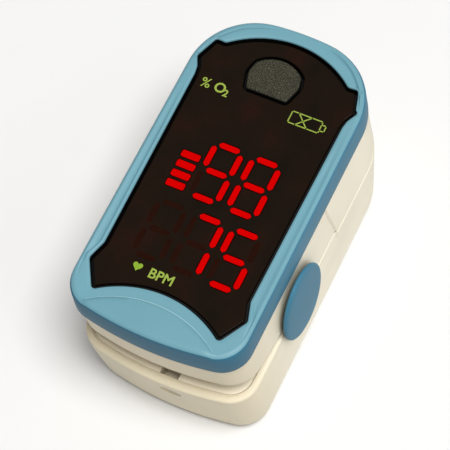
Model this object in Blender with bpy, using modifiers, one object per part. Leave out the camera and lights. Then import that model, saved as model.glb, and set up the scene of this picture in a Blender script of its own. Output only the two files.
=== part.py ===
"""Fingertip pulse oximeter, modelled as separate pieces.

Frame: +Z up, +X to the user's right, +Y along the finger towards the finger opening.
The origin is at the middle of the base. The pinch end is at -Y.
Lengths below are in millimetres and are turned into metres when a mesh is made.
"""
import math

import bmesh
import bpy
from mathutils import Matrix, Vector

MM = 0.001

# Driving dimensions: casing
RIM_Z = 16.5            # top of the lower half's rim
SEAM_Z = 16.8           # lower edge of the upper half at the finger end
SHELL_TOP_Z = 28.6
BEZEL_BASE_Z = 28.9
BEZEL_TOP_Z = 34.4
WALL = 1.4
GAP = 0.3               # clearance between neighbouring pieces
NEAR_BULGE = 61.0       # plan radius of the pinch end
FAR_BULGE = 48.0        # plan radius of the finger end
NEAR_CORNER = 5.1
FAR_CORNER = 11.3

# Driving dimensions: pivot and clamp
PIVOT_Y = -8.0
PIVOT_Z = 17.2
AXLE_R = 1.0
AXLE_HALF = 13.4
GAPE_Y = -30.0          # the V gap between the halves is this high ...
GAPE_Z = 21.9           # ... at this height, measured at the pinch end
GAPE_SLOPE = (GAPE_Z - SEAM_Z) / (PIVOT_Y - GAPE_Y)
RUNNING_R = 1.09        # radius of a hole that turns on the axle
EAR_R = 2.3
EAR_THICK = 1.6
LOWER_EAR_X = 10.0
UPPER_EAR_X = 12.4

# Driving dimensions: oval hinge caps
CAP_Y = -8.7
CAP_Z = 18.9
CAP_HALF_Y = 6.4
CAP_HALF_Z = 9.2
CAP_TILT = math.radians(5.5)
CAP_X = 16.72           # middle of the cap's thickness
CAP_THICK = 0.8
CAP_PEG = (15.0, -8.0, 12.0)
CAP_PEG_R = 1.5

# Driving dimensions: finger chamber, an ellipse seen along Y
CHAMBER_Z = 19.4
CHAMBER_HALF = 9.6
CHAMBER_RISE = 4.9
PAD = 1.4
CHAMBER_END_Y = -1.8
PAD_MOUTH_Y = 29.6
CRADLE_END_Y = -3.6     # closed end of the rigid cradle round the pads
CRADLE_WALL = 0.9
LIGHT_Y = 14.0          # the emitter, the photodiode and their holes are centred here
LIGHT_HOLE_R = 1.8
SENSOR_HALF = 2.0
LIGHT_BAY = (2.4, 11.6, 16.4)   # half width in X, then the span in Y

# Driving dimensions: inner covers
LOWER_COVER_Z = (14.9, 16.3)
UPPER_COVER_Z = (23.2, 24.4)

# Driving dimensions: batteries, size AAA
CELL_R = 5.25
CELL_LENGTH = 44.5
CELL_X = 5.5
CELL_Z = 6.55
CELL_NEAR_Y = -20.9

# Driving dimensions: window, button and board
WINDOW_Z = (32.7, 34.0)
BOARD_Z = (27.1, 28.2)
MODULE_Z = 28.5         # underside of what stands on the main board
BUTTON_TOP_Z = 34.3
BUTTON_FLANGE_Z = (31.7, 32.4)
BOSSES = ((11.8, 18.0), (11.8, -20.5))
BUTTON_X = -0.75
BUTTON_Y = 19.6
LOWER_SCREWS = ((12.7, 19.5), (12.7, -17.5))
PILOT_R = 0.95
LANYARD_X = 1.5
LANYARD_HALF = 1.65
BEYOND = 40.0           # reach of a cutter that runs past the whole object

COLOURS = {
    "blue_plastic": ((0.27, 0.49, 0.56), 0.38, 0.0),
    "white_plastic": ((0.82, 0.79, 0.70), 0.42, 0.0),
    "tinted_window": ((0.012, 0.008, 0.005), 0.08, 0.0),
    "button_plastic": ((0.09, 0.085, 0.065), 0.6, 0.0),
    "silicone": ((0.10, 0.105, 0.11), 0.7, 0.0),
    "circuit_board": ((0.03, 0.16, 0.07), 0.45, 0.0),
    "display_module": ((0.02, 0.02, 0.02), 0.35, 0.0),
    "chip_epoxy": ((0.02, 0.02, 0.022), 0.5, 0.0),
    "steel": ((0.6, 0.6, 0.6), 0.3, 1.0),
    "nickel_contact": ((0.68, 0.66, 0.6), 0.28, 1.0),
    "cell_jacket": ((0.05, 0.05, 0.055), 0.35, 0.2),
    "clear_lens": ((0.5, 0.05, 0.04), 0.1, 0.0),
    "cable_film": ((0.55, 0.27, 0.06), 0.4, 0.0),
}


# ---------------------------------------------------------------- scene helpers

def clear_scene():
    for obj in list(bpy.data.objects):
        bpy.data.objects.remove(obj, do_unlink=True)


def make_collection(name):
    collection = bpy.data.collections.new(name)
    bpy.context.scene.collection.children.link(collection)
    return collection


clear_scene()
PARTS = make_collection("pulse_oximeter")
CUTTERS = make_collection("cutters")


def make_material(name, finish):
    colour, roughness, metallic = COLOURS[finish]
    material = bpy.data.materials.new(name)
    material.use_nodes = True
    shader = material.node_tree.nodes["Principled BSDF"]
    shader.inputs["Base Color"].default_value = (*colour, 1.0)
    shader.inputs["Roughness"].default_value = roughness
    shader.inputs["Metallic"].default_value = metallic
    return material


def add_object(name, mesh, finish=None):
    """A part has a finish; an object without one is a cutter or a joining piece."""
    obj = bpy.data.objects.new(name, mesh)
    (PARTS if finish else CUTTERS).objects.link(obj)
    if finish:
        obj.data.materials.append(make_material(name, finish))
    else:
        obj.hide_render = True
        obj.display_type = "WIRE"
    return obj


def mesh_from(name, bm, smooth=True):
    """Turns millimetres into metres, and rounds the shading below 35 degrees."""
    bmesh.ops.scale(bm, vec=(MM, MM, MM), verts=bm.verts)
    mesh = bpy.data.meshes.new(name)
    bm.to_mesh(mesh)
    bm.free()
    if smooth:
        mesh.shade_smooth()
        mesh.set_sharp_from_angle(angle=math.radians(35))
    return mesh


def boolean(obj, other, operation):
    modifier = obj.modifiers.new(operation.lower(), "BOOLEAN")
    modifier.operation = operation
    modifier.object = other
    modifier.solver = "EXACT"


def cut(obj, *cutters):
    for cutter in cutters:
        boolean(obj, cutter, "DIFFERENCE")


def join(obj, *pieces):
    for piece in pieces:
        boolean(obj, piece, "UNION")


def keep_inside(obj, limit):
    boolean(obj, limit, "INTERSECT")


# ---------------------------------------------------------------- plan outlines

def arc(centre, radius, start, end, steps):
    """Points on an arc, both ends included; angles in radians."""
    angles = (start + (end - start) * i / steps for i in range(steps + 1))
    return [(centre[0] + radius * math.cos(a), centre[1] + radius * math.sin(a)) for a in angles]


def end_outline(half_width, end, bulge, corner, corner_steps, end_steps):
    """Right-hand half of one bulged end, from the straight side to the middle of the end."""
    centre_y = end - bulge
    corner_x = half_width - corner
    corner_y = centre_y + math.sqrt((bulge - corner) ** 2 - corner_x ** 2)
    meet = math.atan2(corner_y - centre_y, corner_x)
    points = arc((corner_x, corner_y), corner, 0.0, meet, corner_steps)
    return points + arc((0.0, centre_y), bulge, meet, math.pi / 2, end_steps)[1:]


def body_outline(half_width, near, far, offset=0.0):
    """Closed plan of the casing, anticlockwise, with a bulged end at each y."""
    far_half = end_outline(half_width, far, FAR_BULGE, FAR_CORNER + offset, 10, 5)
    near_half = end_outline(half_width, -near, NEAR_BULGE, NEAR_CORNER + offset, 6, 5)
    near_half = [(x, -y) for x, y in reversed(near_half)]
    right = near_half + far_half
    left = [(-x, y) for x, y in reversed(right[1:-1])]
    return right + left


def window_outline():
    """Notched window, anticlockwise from the pinch end's right corner."""
    right = [(10.95, -24.85), (13.55, -20.5), (12.55, -17.35), (12.95, 15.7), (13.2, 17.1),
             (14.05, 18.8), (12.6, 22.6), (11.0, 22.5)]
    top_r = 16.5
    top_centre = (0.0, 26.6 - top_r)
    start = math.acos(10.5 / top_r)
    top = arc(top_centre, top_r, start, math.pi - start, 16)
    left = [(-x, y) for x, y in reversed(right)]
    low_r = 18.9
    low_centre = (0.0, -21.35 - low_r)
    low_angle = math.acos(10.2 / low_r)
    bottom = arc(low_centre, low_r, math.pi - low_angle, low_angle, 12)
    return right + top + left + bottom


def button_outline():
    """D shape: narrower and flat towards the digits, arched towards the finger end."""
    crown_r = 6.0
    start = math.acos(4.5 / crown_r)
    crown = arc((0.0, 23.7 - crown_r), crown_r, start, math.pi - start, 12)
    right = arc((3.3, 16.85), 0.9, -math.pi / 2, -0.32, 3)
    right += [(4.85, 18.75), (5.0, 19.6), (4.88, 20.5)]
    left = [(-x, y) for x, y in reversed(right)]
    return [(x + BUTTON_X, y) for x, y in right + crown + left]


def offset_outline(points, distance):
    """Moves each side of a closed outline outwards along its normal."""
    moved = []
    count = len(points)
    for i, point in enumerate(points):
        before = Vector(points[i - 1])
        here = Vector(point)
        after = Vector(points[(i + 1) % count])
        first = (here - before).normalized()
        second = (after - here).normalized()
        normal_1 = Vector((first.y, -first.x))
        normal_2 = Vector((second.y, -second.x))
        middle = (normal_1 + normal_2).normalized()
        reach = distance / max(middle.dot(normal_1), 0.5)
        moved.append(tuple(here + middle * reach))
    return moved


# ---------------------------------------------------------------- solid builders

def stack(name, levels, finish=None, capped=True):
    """Extrudes an outline up or down through levels of (z, outline).

    The first and last faces are kept when capped, so that the result is closed.
    """
    bm = bmesh.new()
    z, outline = levels[0]
    ring = [bm.verts.new((x, y, z)) for x, y in outline]
    face = bm.faces.new(ring)
    edges = list(face.edges)
    if not capped:
        bmesh.ops.delete(bm, geom=[face], context="FACES_ONLY")
    for z, outline in levels[1:]:
        geometry = bmesh.ops.extrude_edge_only(bm, edges=edges)["geom"]
        new_verts = [item for item in geometry if isinstance(item, bmesh.types.BMVert)]
        edges = [item for item in geometry if isinstance(item, bmesh.types.BMEdge)]
        twins = {vert: new for vert in ring for new in new_verts
                 if any(edge.other_vert(vert) is new for edge in vert.link_edges)}
        ring = [twins[vert] for vert in ring]
        for vert, (x, y) in zip(ring, outline):
            vert.co = (x, y, z)
    if capped:
        bm.faces.new(ring)
    bmesh.ops.recalc_face_normals(bm, faces=bm.faces)
    return add_object(name, mesh_from(name, bm), finish)


def plate(name, outline, low, high, finish=None):
    """A flat outline with a thickness, as a filled 2D curve turned into a mesh."""
    curve = bpy.data.curves.new(name + "_outline", "CURVE")
    curve.dimensions = "2D"
    curve.fill_mode = "BOTH"
    curve.extrude = (high - low) / 2
    spline = curve.splines.new("POLY")
    spline.points.add(len(outline) - 1)
    for point, (x, y) in zip(spline.points, outline):
        point.co = (x, y, 0.0, 1.0)
    spline.use_cyclic_u = True
    guide = bpy.data.objects.new(name + "_outline", curve)
    CUTTERS.objects.link(guide)
    bpy.context.view_layer.update()
    evaluated = guide.evaluated_get(bpy.context.evaluated_depsgraph_get())
    bm = bmesh.new()
    bm.from_mesh(bpy.data.meshes.new_from_object(evaluated))
    bpy.data.objects.remove(guide)
    bmesh.ops.remove_doubles(bm, verts=bm.verts, dist=0.00005)
    bmesh.ops.translate(bm, verts=bm.verts, vec=(0.0, 0.0, (low + high) / 2))
    bmesh.ops.recalc_face_normals(bm, faces=bm.faces)
    return add_object(name, mesh_from(name, bm), finish)


def box(name, low, high, finish=None):
    bm = bmesh.new()
    bmesh.ops.create_cube(bm, size=1.0)
    size = Vector(high) - Vector(low)
    bmesh.ops.scale(bm, vec=size, verts=bm.verts)
    bmesh.ops.translate(bm, vec=(Vector(high) + Vector(low)) / 2, verts=bm.verts)
    return add_object(name, mesh_from(name, bm, smooth=False), finish)


AXIS_TURN = {
    "X": Matrix.Rotation(math.pi / 2, 4, "Y"),
    "Y": Matrix.Rotation(-math.pi / 2, 4, "X"),
    "Z": Matrix.Identity(4),
}


def rod(name, axis, centre, radius, length, finish=None, segments=24):
    """A cylinder along X, Y or Z."""
    bm = bmesh.new()
    bmesh.ops.create_cone(bm, cap_ends=True, segments=segments, radius1=radius,
                          radius2=radius, depth=length)
    bmesh.ops.transform(bm, matrix=AXIS_TURN[axis], verts=bm.verts)
    bmesh.ops.translate(bm, vec=centre, verts=bm.verts)
    return add_object(name, mesh_from(name, bm), finish)


def ellipse_rod(name, axis, centre, half_1, half_2, length, tilt=0.0, finish=None):
    """An elliptical rod. Along Y, half_1 is in X and half_2 in Z; along X, in Y and Z."""
    bm = bmesh.new()
    bmesh.ops.create_cone(bm, cap_ends=True, segments=36, radius1=1.0, radius2=1.0,
                          depth=length)
    if axis == "Y":
        shape = (half_1, half_2, 1.0)
        turn = Matrix.Rotation(-math.pi / 2, 4, "X")
    else:
        shape = (half_2, half_1, 1.0)
        turn = Matrix.Rotation(math.pi / 2, 4, "Y")
    bmesh.ops.scale(bm, vec=shape, verts=bm.verts)
    bmesh.ops.transform(bm, matrix=turn, verts=bm.verts)
    bmesh.ops.rotate(bm, verts=bm.verts, matrix=Matrix.Rotation(tilt, 3, axis))
    bmesh.ops.translate(bm, vec=centre, verts=bm.verts)
    return add_object(name, mesh_from(name, bm), finish)


def profile_bar(name, points, low_x, high_x, finish=None):
    """Extrudes a closed side view, given as (y, z) points, along X."""
    bm = bmesh.new()
    face = bm.faces.new([bm.verts.new((low_x, y, z)) for y, z in points])
    geometry = bmesh.ops.extrude_face_region(bm, geom=[face])["geom"]
    verts = [item for item in geometry if isinstance(item, bmesh.types.BMVert)]
    bmesh.ops.translate(bm, verts=verts, vec=(high_x - low_x, 0.0, 0.0))
    bmesh.ops.recalc_face_normals(bm, faces=bm.faces)
    return add_object(name, mesh_from(name, bm, smooth=False), finish)


def wire(name, points, radius, finish):
    """A round wire through the points, welded into one closed mesh."""
    curve = bpy.data.curves.new(name + "_path", "CURVE")
    curve.dimensions = "3D"
    curve.bevel_depth = radius
    curve.bevel_resolution = 2
    curve.use_fill_caps = True
    spline = curve.splines.new("POLY")
    spline.points.add(len(points) - 1)
    for point, place in zip(spline.points, points):
        point.co = (*place, 1.0)
    guide = bpy.data.objects.new(name + "_path", curve)
    CUTTERS.objects.link(guide)
    bpy.context.view_layer.update()
    evaluated = guide.evaluated_get(bpy.context.evaluated_depsgraph_get())
    bm = bmesh.new()
    bm.from_mesh(bpy.data.meshes.new_from_object(evaluated))
    bpy.data.objects.remove(guide)
    bmesh.ops.remove_doubles(bm, verts=bm.verts, dist=0.0001)
    bmesh.ops.recalc_face_normals(bm, faces=bm.faces)
    add_object(name, mesh_from(name, bm), finish)


def chamber_rod(name, extra, near, far, finish=None):
    """Elliptical cutter or body concentric with the finger chamber."""
    return ellipse_rod(name, "Y", (0.0, (near + far) / 2, CHAMBER_Z), CHAMBER_HALF + extra,
                       CHAMBER_RISE + extra, far - near, finish=finish)


def finger_arch(name):
    """Cutter for the finger opening in the end wall of a half."""
    return chamber_rod(name, PAD + GAP, 24.0, 34.0)


def below(name, height):
    return box(name, (-BEYOND, -BEYOND, -BEYOND), (BEYOND, BEYOND, height))


def above(name, height):
    return box(name, (-BEYOND, -BEYOND, height), (BEYOND, BEYOND, BEYOND + height))


def slot(name, half_width, near, far):
    """Cutter with a rectangular plan, centred in X, that runs through the whole height."""
    return box(name, (-half_width, near, -BEYOND), (half_width, far, BEYOND))


def hollow_wall(shell):
    """Gives an open shell its wall, grown inwards from the outside surface."""
    thickness = shell.modifiers.new("wall", "SOLIDIFY")
    thickness.thickness = WALL * MM
    thickness.offset = -1.0
    thickness.use_even_offset = True


# ---------------------------------------------------------------- lower half

def hull_levels():
    """Outside of the lower half, from its rim down to its base."""
    return [
        (RIM_Z, body_outline(16.0, -30.0, 30.0)),
        (9.0, body_outline(15.85, -29.4, 29.75)),
        (2.8, body_outline(15.6, -28.7, 29.4)),
        (1.2, body_outline(15.2, -28.2, 28.9, -0.3)),
        (0.35, body_outline(14.5, -27.5, 28.2, -0.9)),
        (0.0, body_outline(13.4, -26.4, 27.1, -1.8)),
    ]


def make_lower_shell():
    """Hull with a flat base, a battery opening, a finger notch and a lanyard bar."""
    shell = stack("lower_shell", hull_levels(), "white_plastic", capped=False)
    bm = bmesh.new()
    bm.from_mesh(shell.data)
    base = [edge for edge in bm.edges if edge.is_boundary and edge.verts[0].co.z < 0.0001]
    bmesh.ops.contextual_create(bm, geom=base)
    bmesh.ops.recalc_face_normals(bm, faces=bm.faces)
    bm.to_mesh(shell.data)
    bm.free()
    hollow_wall(shell)
    for side in (-1, 1):
        for index, (x, y) in enumerate(LOWER_SCREWS):
            boss = rod(f"lower_boss_{side}_{index}", "Z", (side * (x + 0.25), y, 7.6), 1.75, 13.6,
                       segments=16)
            pilot = rod(f"lower_pilot_{side}_{index}", "Z", (side * x, y, 12.0), PILOT_R, 6.0,
                        segments=16)
            join(shell, boss)
            cut(shell, pilot)
        peg_x, peg_y, peg_z = CAP_PEG
        cut(shell, rod(f"cap_peg_hole_{side}", "X", (side * peg_x, peg_y, peg_z),
                       CAP_PEG_R + GAP, 6.0, segments=16))
    opening = box("battery_opening", (-10.9, -24.0, -2.0), (10.9, 34.0, 1.65))
    passage = box("lanyard_passage", (LANYARD_X - LANYARD_HALF, -32.0, 12.4),
                  (LANYARD_X + LANYARD_HALF, -27.4, 14.6))
    cut(shell, opening, finger_arch("lower_finger_notch"), passage)


def make_lower_inner_cover():
    """Ledge inside the rim, with the lower half of the finger cradle and two hinge ears."""
    outline = body_outline(16.0 - WALL - GAP, -30.0 + WALL + GAP, 30.0 - WALL - GAP, -WALL)
    cover = plate("lower_inner_cover", outline, *LOWER_COVER_Z, "white_plastic")
    cradle = chamber_rod("lower_cradle", PAD + GAP + CRADLE_WALL, CRADLE_END_Y - 1.0, 28.1)
    cut(cradle, above("lower_cradle_trim", LOWER_COVER_Z[1]))
    bay = body_outline(15.6 - WALL - GAP, -28.9 + WALL + GAP, 29.5 - WALL - GAP, -WALL)
    keep_inside(cradle, plate("lower_cradle_bay", bay, 0.0, 20.0))
    join(cover, cradle)
    hollow = chamber_rod("lower_cradle_hollow", PAD + GAP, CRADLE_END_Y, BEYOND)
    spring_bay = slot("lower_spring_bay", 9.0, -12.7, -4.9)
    cut(cover, hollow, spring_bay)
    for side in (-1, 1):
        ear_x = side * LOWER_EAR_X
        post = box(f"lower_ear_post_{side}", (ear_x - EAR_THICK / 2, PIVOT_Y - EAR_R, 15.2),
                   (ear_x + EAR_THICK / 2, PIVOT_Y + EAR_R, PIVOT_Z))
        ear = rod(f"lower_ear_{side}", "X", (ear_x, PIVOT_Y, PIVOT_Z), EAR_R, EAR_THICK)
        join(cover, post, ear)
        pocket_half = EAR_THICK / 2 + 0.5
        cut(cover, box(f"upper_ear_pocket_{side}", (side * UPPER_EAR_X - pocket_half, -11.2, 12.0),
                       (side * UPPER_EAR_X + pocket_half, -4.8, 18.0)))
        for index, (x, y) in enumerate(LOWER_SCREWS):
            cut(cover, rod(f"lower_screw_hole_{side}_{index}", "Z", (side * x, y, 15.6), PILOT_R,
                           4.0, segments=16))
            cut(cover, rod(f"lower_screw_sink_{side}_{index}", "Z", (side * x, y, 16.4), 1.7, 2.0,
                           segments=16))
    cut(cover, rod("lower_axle_hole", "X", (0.0, PIVOT_Y, PIVOT_Z), RUNNING_R, 26.0))
    cut(cover, slot("cable_slot_lower", 2.8, -14.6, -11.0))
    cut(cover, slot("photodiode_window", *LIGHT_BAY))
    cut(cover, box("lanyard_slot", (LANYARD_X - LANYARD_HALF, -30.0, 10.0),
                   (LANYARD_X + LANYARD_HALF, -27.0, 20.0)))


def make_pad(name, low, high):
    """Soft half-cup of the finger chamber, closed at its inner end."""
    pad = chamber_rod(name, PAD, CHAMBER_END_Y - PAD, PAD_MOUTH_Y, "silicone")
    cut(pad, chamber_rod(name + "_hollow", 0.0, CHAMBER_END_Y, BEYOND))
    cut(pad, box(name + "_trim", (-BEYOND, -BEYOND, low), (BEYOND, BEYOND, high)))
    keep_inside(pad, plate(name + "_limit", body_outline(16.0, -30.0, 29.9), 0.0, BEYOND))
    return pad


def make_pads():
    lower = make_pad("lower_pad", 16.5, BEYOND)
    upper = make_pad("upper_pad", 0.0, 17.3)
    cut(lower, rod("lower_light_hole", "Z", (0.0, LIGHT_Y, 13.5), LIGHT_HOLE_R, 8.0))
    cut(upper, rod("upper_light_hole", "Z", (0.0, LIGHT_Y, 25.0), LIGHT_HOLE_R, 8.0))


def make_battery_cover():
    """Flat door in the base, which follows the hull's rounded outer end."""
    door = box("battery_cover", (-10.6, -23.7, 0.0), (10.6, 35.0, 1.1), "white_plastic")
    keep_inside(door, stack("door_limit", hull_levels()))
    for index in range(5):
        groove_y = 14.0 + 2.0 * index
        cut(door, box(f"door_grip_{index}", (-4.0, groove_y, -1.0), (4.0, groove_y + 0.9, 0.35)))


def make_cell(side):
    """AAA cell with its positive nub, turned about its own axis."""
    profile = [(0.0, CELL_LENGTH), (1.9, CELL_LENGTH), (1.9, CELL_LENGTH - 0.8),
               (CELL_R - 0.5, CELL_LENGTH - 0.8), (CELL_R, CELL_LENGTH - 1.3), (CELL_R, 0.5),
               (CELL_R - 0.5, 0.0), (0.0, 0.0)]
    name = "battery_right" if side > 0 else "battery_left"
    mesh = bpy.data.meshes.new(name)
    bm = bmesh.new()
    verts = [bm.verts.new((r * MM, 0.0, z * MM)) for r, z in profile]
    for first, second in zip(verts, verts[1:]):
        bm.edges.new((first, second))
    bm.to_mesh(mesh)
    bm.free()
    cell = add_object(name, mesh, "cell_jacket")
    screw = cell.modifiers.new("turn", "SCREW")
    screw.steps = 28
    screw.render_steps = 28
    screw.use_merge_vertices = True
    screw.merge_threshold = 0.00001
    # The right-hand cell has its nub towards the finger end, the left-hand one is reversed.
    near = CELL_NEAR_Y if side > 0 else CELL_NEAR_Y + CELL_LENGTH
    cell.rotation_euler = (-math.pi / 2 * side, 0.0, 0.0)
    cell.location = (side * CELL_X * MM, near * MM, CELL_Z * MM)


def coil(centre, radius, turns, pitch, axis, steps=12, start=0.0):
    """Points of a helix along X or Y."""
    points = []
    for i in range(int(turns * steps) + 1):
        angle = start + 2 * math.pi * i / steps
        along = pitch * i / steps
        across = (radius * math.cos(angle), radius * math.sin(angle))
        if axis == "X":
            points.append((centre[0] + along, centre[1] + across[0], centre[2] + across[1]))
        else:
            points.append((centre[0] + across[0], centre[1] + along, centre[2] + across[1]))
    return points


def make_contacts():
    """Contact plates, the bridge between the cells, and the two coil springs."""
    spring_length = 1.8
    near = CELL_NEAR_Y
    far = CELL_NEAR_Y + CELL_LENGTH
    plate_z = (2.0, 11.2)
    for name, side, gap in (("contact_plate_negative", 1, spring_length + GAP + 0.5),
                            ("contact_plate_positive", -1, GAP)):
        low_x, high_x = sorted((side * 1.0, side * 9.4))
        box(name, (low_x, near - gap - 0.4, plate_z[0]), (high_x, near - gap, plate_z[1]),
            "nickel_contact")
    bridge_y = far + spring_length + 0.6
    box("contact_bridge", (-8.4, bridge_y, plate_z[0]), (8.4, bridge_y + 0.4, plate_z[1]),
        "nickel_contact")
    near_points = coil((CELL_X, near - spring_length - 0.1, CELL_Z), 2.6, 2.0, 0.75, "Y")
    wire("battery_spring_near", near_points, 0.28, "nickel_contact")
    far_points = coil((-CELL_X, far + 0.45, CELL_Z), 2.6, 2.0, 0.75, "Y")
    wire("battery_spring_far", far_points, 0.28, "nickel_contact")
    box("battery_board", (-9.0, near - 4.6, 2.4), (9.0, near - 3.6, 11.6), "circuit_board")


def make_sensor(name, low_z, high_z):
    """Square light source or light sensor beside the finger chamber."""
    box(name, (-SENSOR_HALF, LIGHT_Y - SENSOR_HALF, low_z),
        (SENSOR_HALF, LIGHT_Y + SENSOR_HALF, high_z), "clear_lens")


# ---------------------------------------------------------------- hinge

def make_hinge():
    rod("pivot_axle", "X", (0.0, PIVOT_Y, PIVOT_Z), AXLE_R, 2 * AXLE_HALF, "steel")
    peg_x, peg_y, peg_z = CAP_PEG
    for side, name in ((1, "hinge_cap_right"), (-1, "hinge_cap_left")):
        cap = ellipse_rod(name, "X", (side * CAP_X, CAP_Y, CAP_Z), CAP_HALF_Y, CAP_HALF_Z,
                          CAP_THICK, CAP_TILT, "blue_plastic")
        rounding = cap.modifiers.new("edge", "BEVEL")
        rounding.width = 0.25 * MM
        rounding.segments = 2
        join(cap, rod(name + "_peg", "X", (side * peg_x, peg_y, peg_z), CAP_PEG_R, 3.2,
                      segments=16))


def make_torsion_springs():
    """Coils round the axle; their legs press the pinch ends apart."""
    radius = 2.2
    for side, name in ((1, "torsion_spring_right"), (-1, "torsion_spring_left")):
        turns = coil((4.2, PIVOT_Y, PIVOT_Z), radius, 4.5, 0.85, "X", start=-math.pi / 2)
        lower_leg = [(4.2, -16.2, 17.15), (4.2, -13.2, 17.05), (4.2, -10.0, 15.2)]
        upper_leg = [(turns[-1][0], -10.4, 19.9), (turns[-1][0], -16.4, 21.6)]
        # The helix runs from the bottom of the coil to its top.
        turns = [(x, 2 * PIVOT_Y - y, z) for x, y, z in turns]
        path = [(side * x, y, z) for x, y, z in lower_leg + turns + upper_leg]
        wire(name, path, 0.35, "steel")


def make_flex_cable():
    """Flat film cable from the main board down into the lower half."""
    route = [(-14.9, 26.6), (-13.8, 26.5), (-13.4, 25.6), (-13.4, 21.0), (-13.2, 18.0),
             (-12.7, 15.0), (-12.6, 12.8)]
    bm = bmesh.new()
    rows = [[bm.verts.new((x, y, z)) for x in (-2.0, 2.0)] for y, z in route]
    for first, second in zip(rows, rows[1:]):
        bm.faces.new((first[0], first[1], second[1], second[0]))
    cable = add_object("flex_cable", mesh_from("flex_cable", bm), "cable_film")
    film = cable.modifiers.new("film", "SOLIDIFY")
    film.thickness = 0.2 * MM
    film.offset = 0.0


# ---------------------------------------------------------------- upper half

def gape_cutter(name):
    """Wedge that opens the V gap between the halves, from the pivot to the pinch end."""
    low = SEAM_Z - 2.0
    side_view = [(PIVOT_Y, SEAM_Z), (PIVOT_Y, low), (PIVOT_Y - BEYOND, low),
                 (PIVOT_Y - BEYOND, SEAM_Z + BEYOND * GAPE_SLOPE)]
    return profile_bar(name, side_view, -BEYOND, BEYOND)


def make_upper_shell():
    """Ring of side walls, cut by the V gap and arched over the finger opening."""
    levels = [
        (SHELL_TOP_Z, body_outline(15.35, -29.3, 29.3)),
        (SEAM_Z, body_outline(15.95, -28.3, 29.9)),
    ]
    shell = stack("upper_shell", levels, "white_plastic", capped=False)
    hollow_wall(shell)
    cut(shell, gape_cutter("upper_shell_gape"), finger_arch("upper_finger_arch"))


def make_upper_inner_cover():
    """Floor of the upper half: deck, vault over the finger, end stop and hinge ears."""
    inset = -1.6
    deck = plate("upper_inner_cover", body_outline(13.7, -26.9, 27.5, inset), *UPPER_COVER_Z,
                 "white_plastic")
    vault = chamber_rod("upper_vault", PAD + GAP + 0.8, CRADLE_END_Y - 0.9, 27.5)
    cut(vault, below("upper_vault_trim", 17.5))
    bay = body_outline(13.65, -26.9, 27.4, inset)
    keep_inside(vault, plate("upper_vault_bay", bay, 0.0, BEYOND))
    join(deck, vault)
    cut(deck, chamber_rod("upper_vault_hollow", PAD + GAP, CRADLE_END_Y, BEYOND))
    apron_near = -27.5
    apron_far = -17.2
    apron_wall = 1.2
    web = 1.0
    web_top = UPPER_COVER_Z[0] + 0.6
    low_near = SEAM_Z + 0.5 + GAPE_SLOPE * (PIVOT_Y - apron_near)
    low_far = SEAM_Z + 0.5 + GAPE_SLOPE * (PIVOT_Y - apron_far)
    side_view = [(apron_near, low_near), (apron_far, low_far), (apron_far, web_top),
                 (apron_far - web, web_top), (apron_far - web, low_far + apron_wall),
                 (apron_near, low_near + apron_wall)]
    apron = profile_bar("upper_apron", side_view, -14.0, 14.0)
    limit = body_outline(13.9, -26.6, 27.4, inset)
    keep_inside(apron, plate("upper_apron_limit", limit, 0.0, BEYOND))
    join(deck, apron)
    for side in (-1, 1):
        ear_x = side * UPPER_EAR_X
        post = box(f"upper_ear_post_{side}", (ear_x - EAR_THICK / 2, PIVOT_Y - EAR_R, PIVOT_Z),
                   (ear_x + EAR_THICK / 2, PIVOT_Y + EAR_R, 24.0))
        ear = rod(f"upper_ear_{side}", "X", (ear_x, PIVOT_Y, PIVOT_Z), EAR_R, EAR_THICK)
        join(deck, post, ear)
        for index, (x, y) in enumerate(BOSSES):
            cut(deck, rod(f"upper_screw_hole_{side}_{index}", "Z", (side * x, y, 23.8), PILOT_R,
                          6.0, segments=16))
            cut(deck, rod(f"upper_screw_well_{side}_{index}", "Z", (side * x, y, 20.2), 1.75, 6.0,
                          segments=16))
    cut(deck, rod("upper_axle_hole", "X", (0.0, PIVOT_Y, PIVOT_Z), RUNNING_R, 28.0))
    cut(deck, box("cable_slot_upper", (-2.8, -14.8, 20.0), (2.8, -12.2, 26.0)))
    half_width, near, far = LIGHT_BAY
    cut(deck, box("emitter_window", (-half_width, near, 25.0), (half_width, far, 28.0)))


def make_electronics():
    board = plate("main_pcb", body_outline(13.2, -26.4, 27.0, -2.1), *BOARD_Z, "circuit_board")
    for side in (-1, 1):
        for index, (x, y) in enumerate(BOSSES):
            cut(board, rod(f"board_notch_{side}_{index}", "Z", (side * (x + 0.8), y, 27.0), 2.9, 6.0))
    box("led_display", (-11.0, -17.8, MODULE_Z), (11.0, 8.6, 31.9), "display_module")
    switch = box("tact_switch", (BUTTON_X - 2.6, BUTTON_Y - 2.6, MODULE_Z),
                 (BUTTON_X + 2.6, BUTTON_Y + 2.6, 30.3), "chip_epoxy")
    join(switch, rod("tact_plunger", "Z", (BUTTON_X, BUTTON_Y, 30.4), 1.3, 1.4, segments=16))
    box("controller_chip", (-3.5, 10.6, MODULE_Z), (3.5, 14.8, 29.7), "chip_epoxy")


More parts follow.
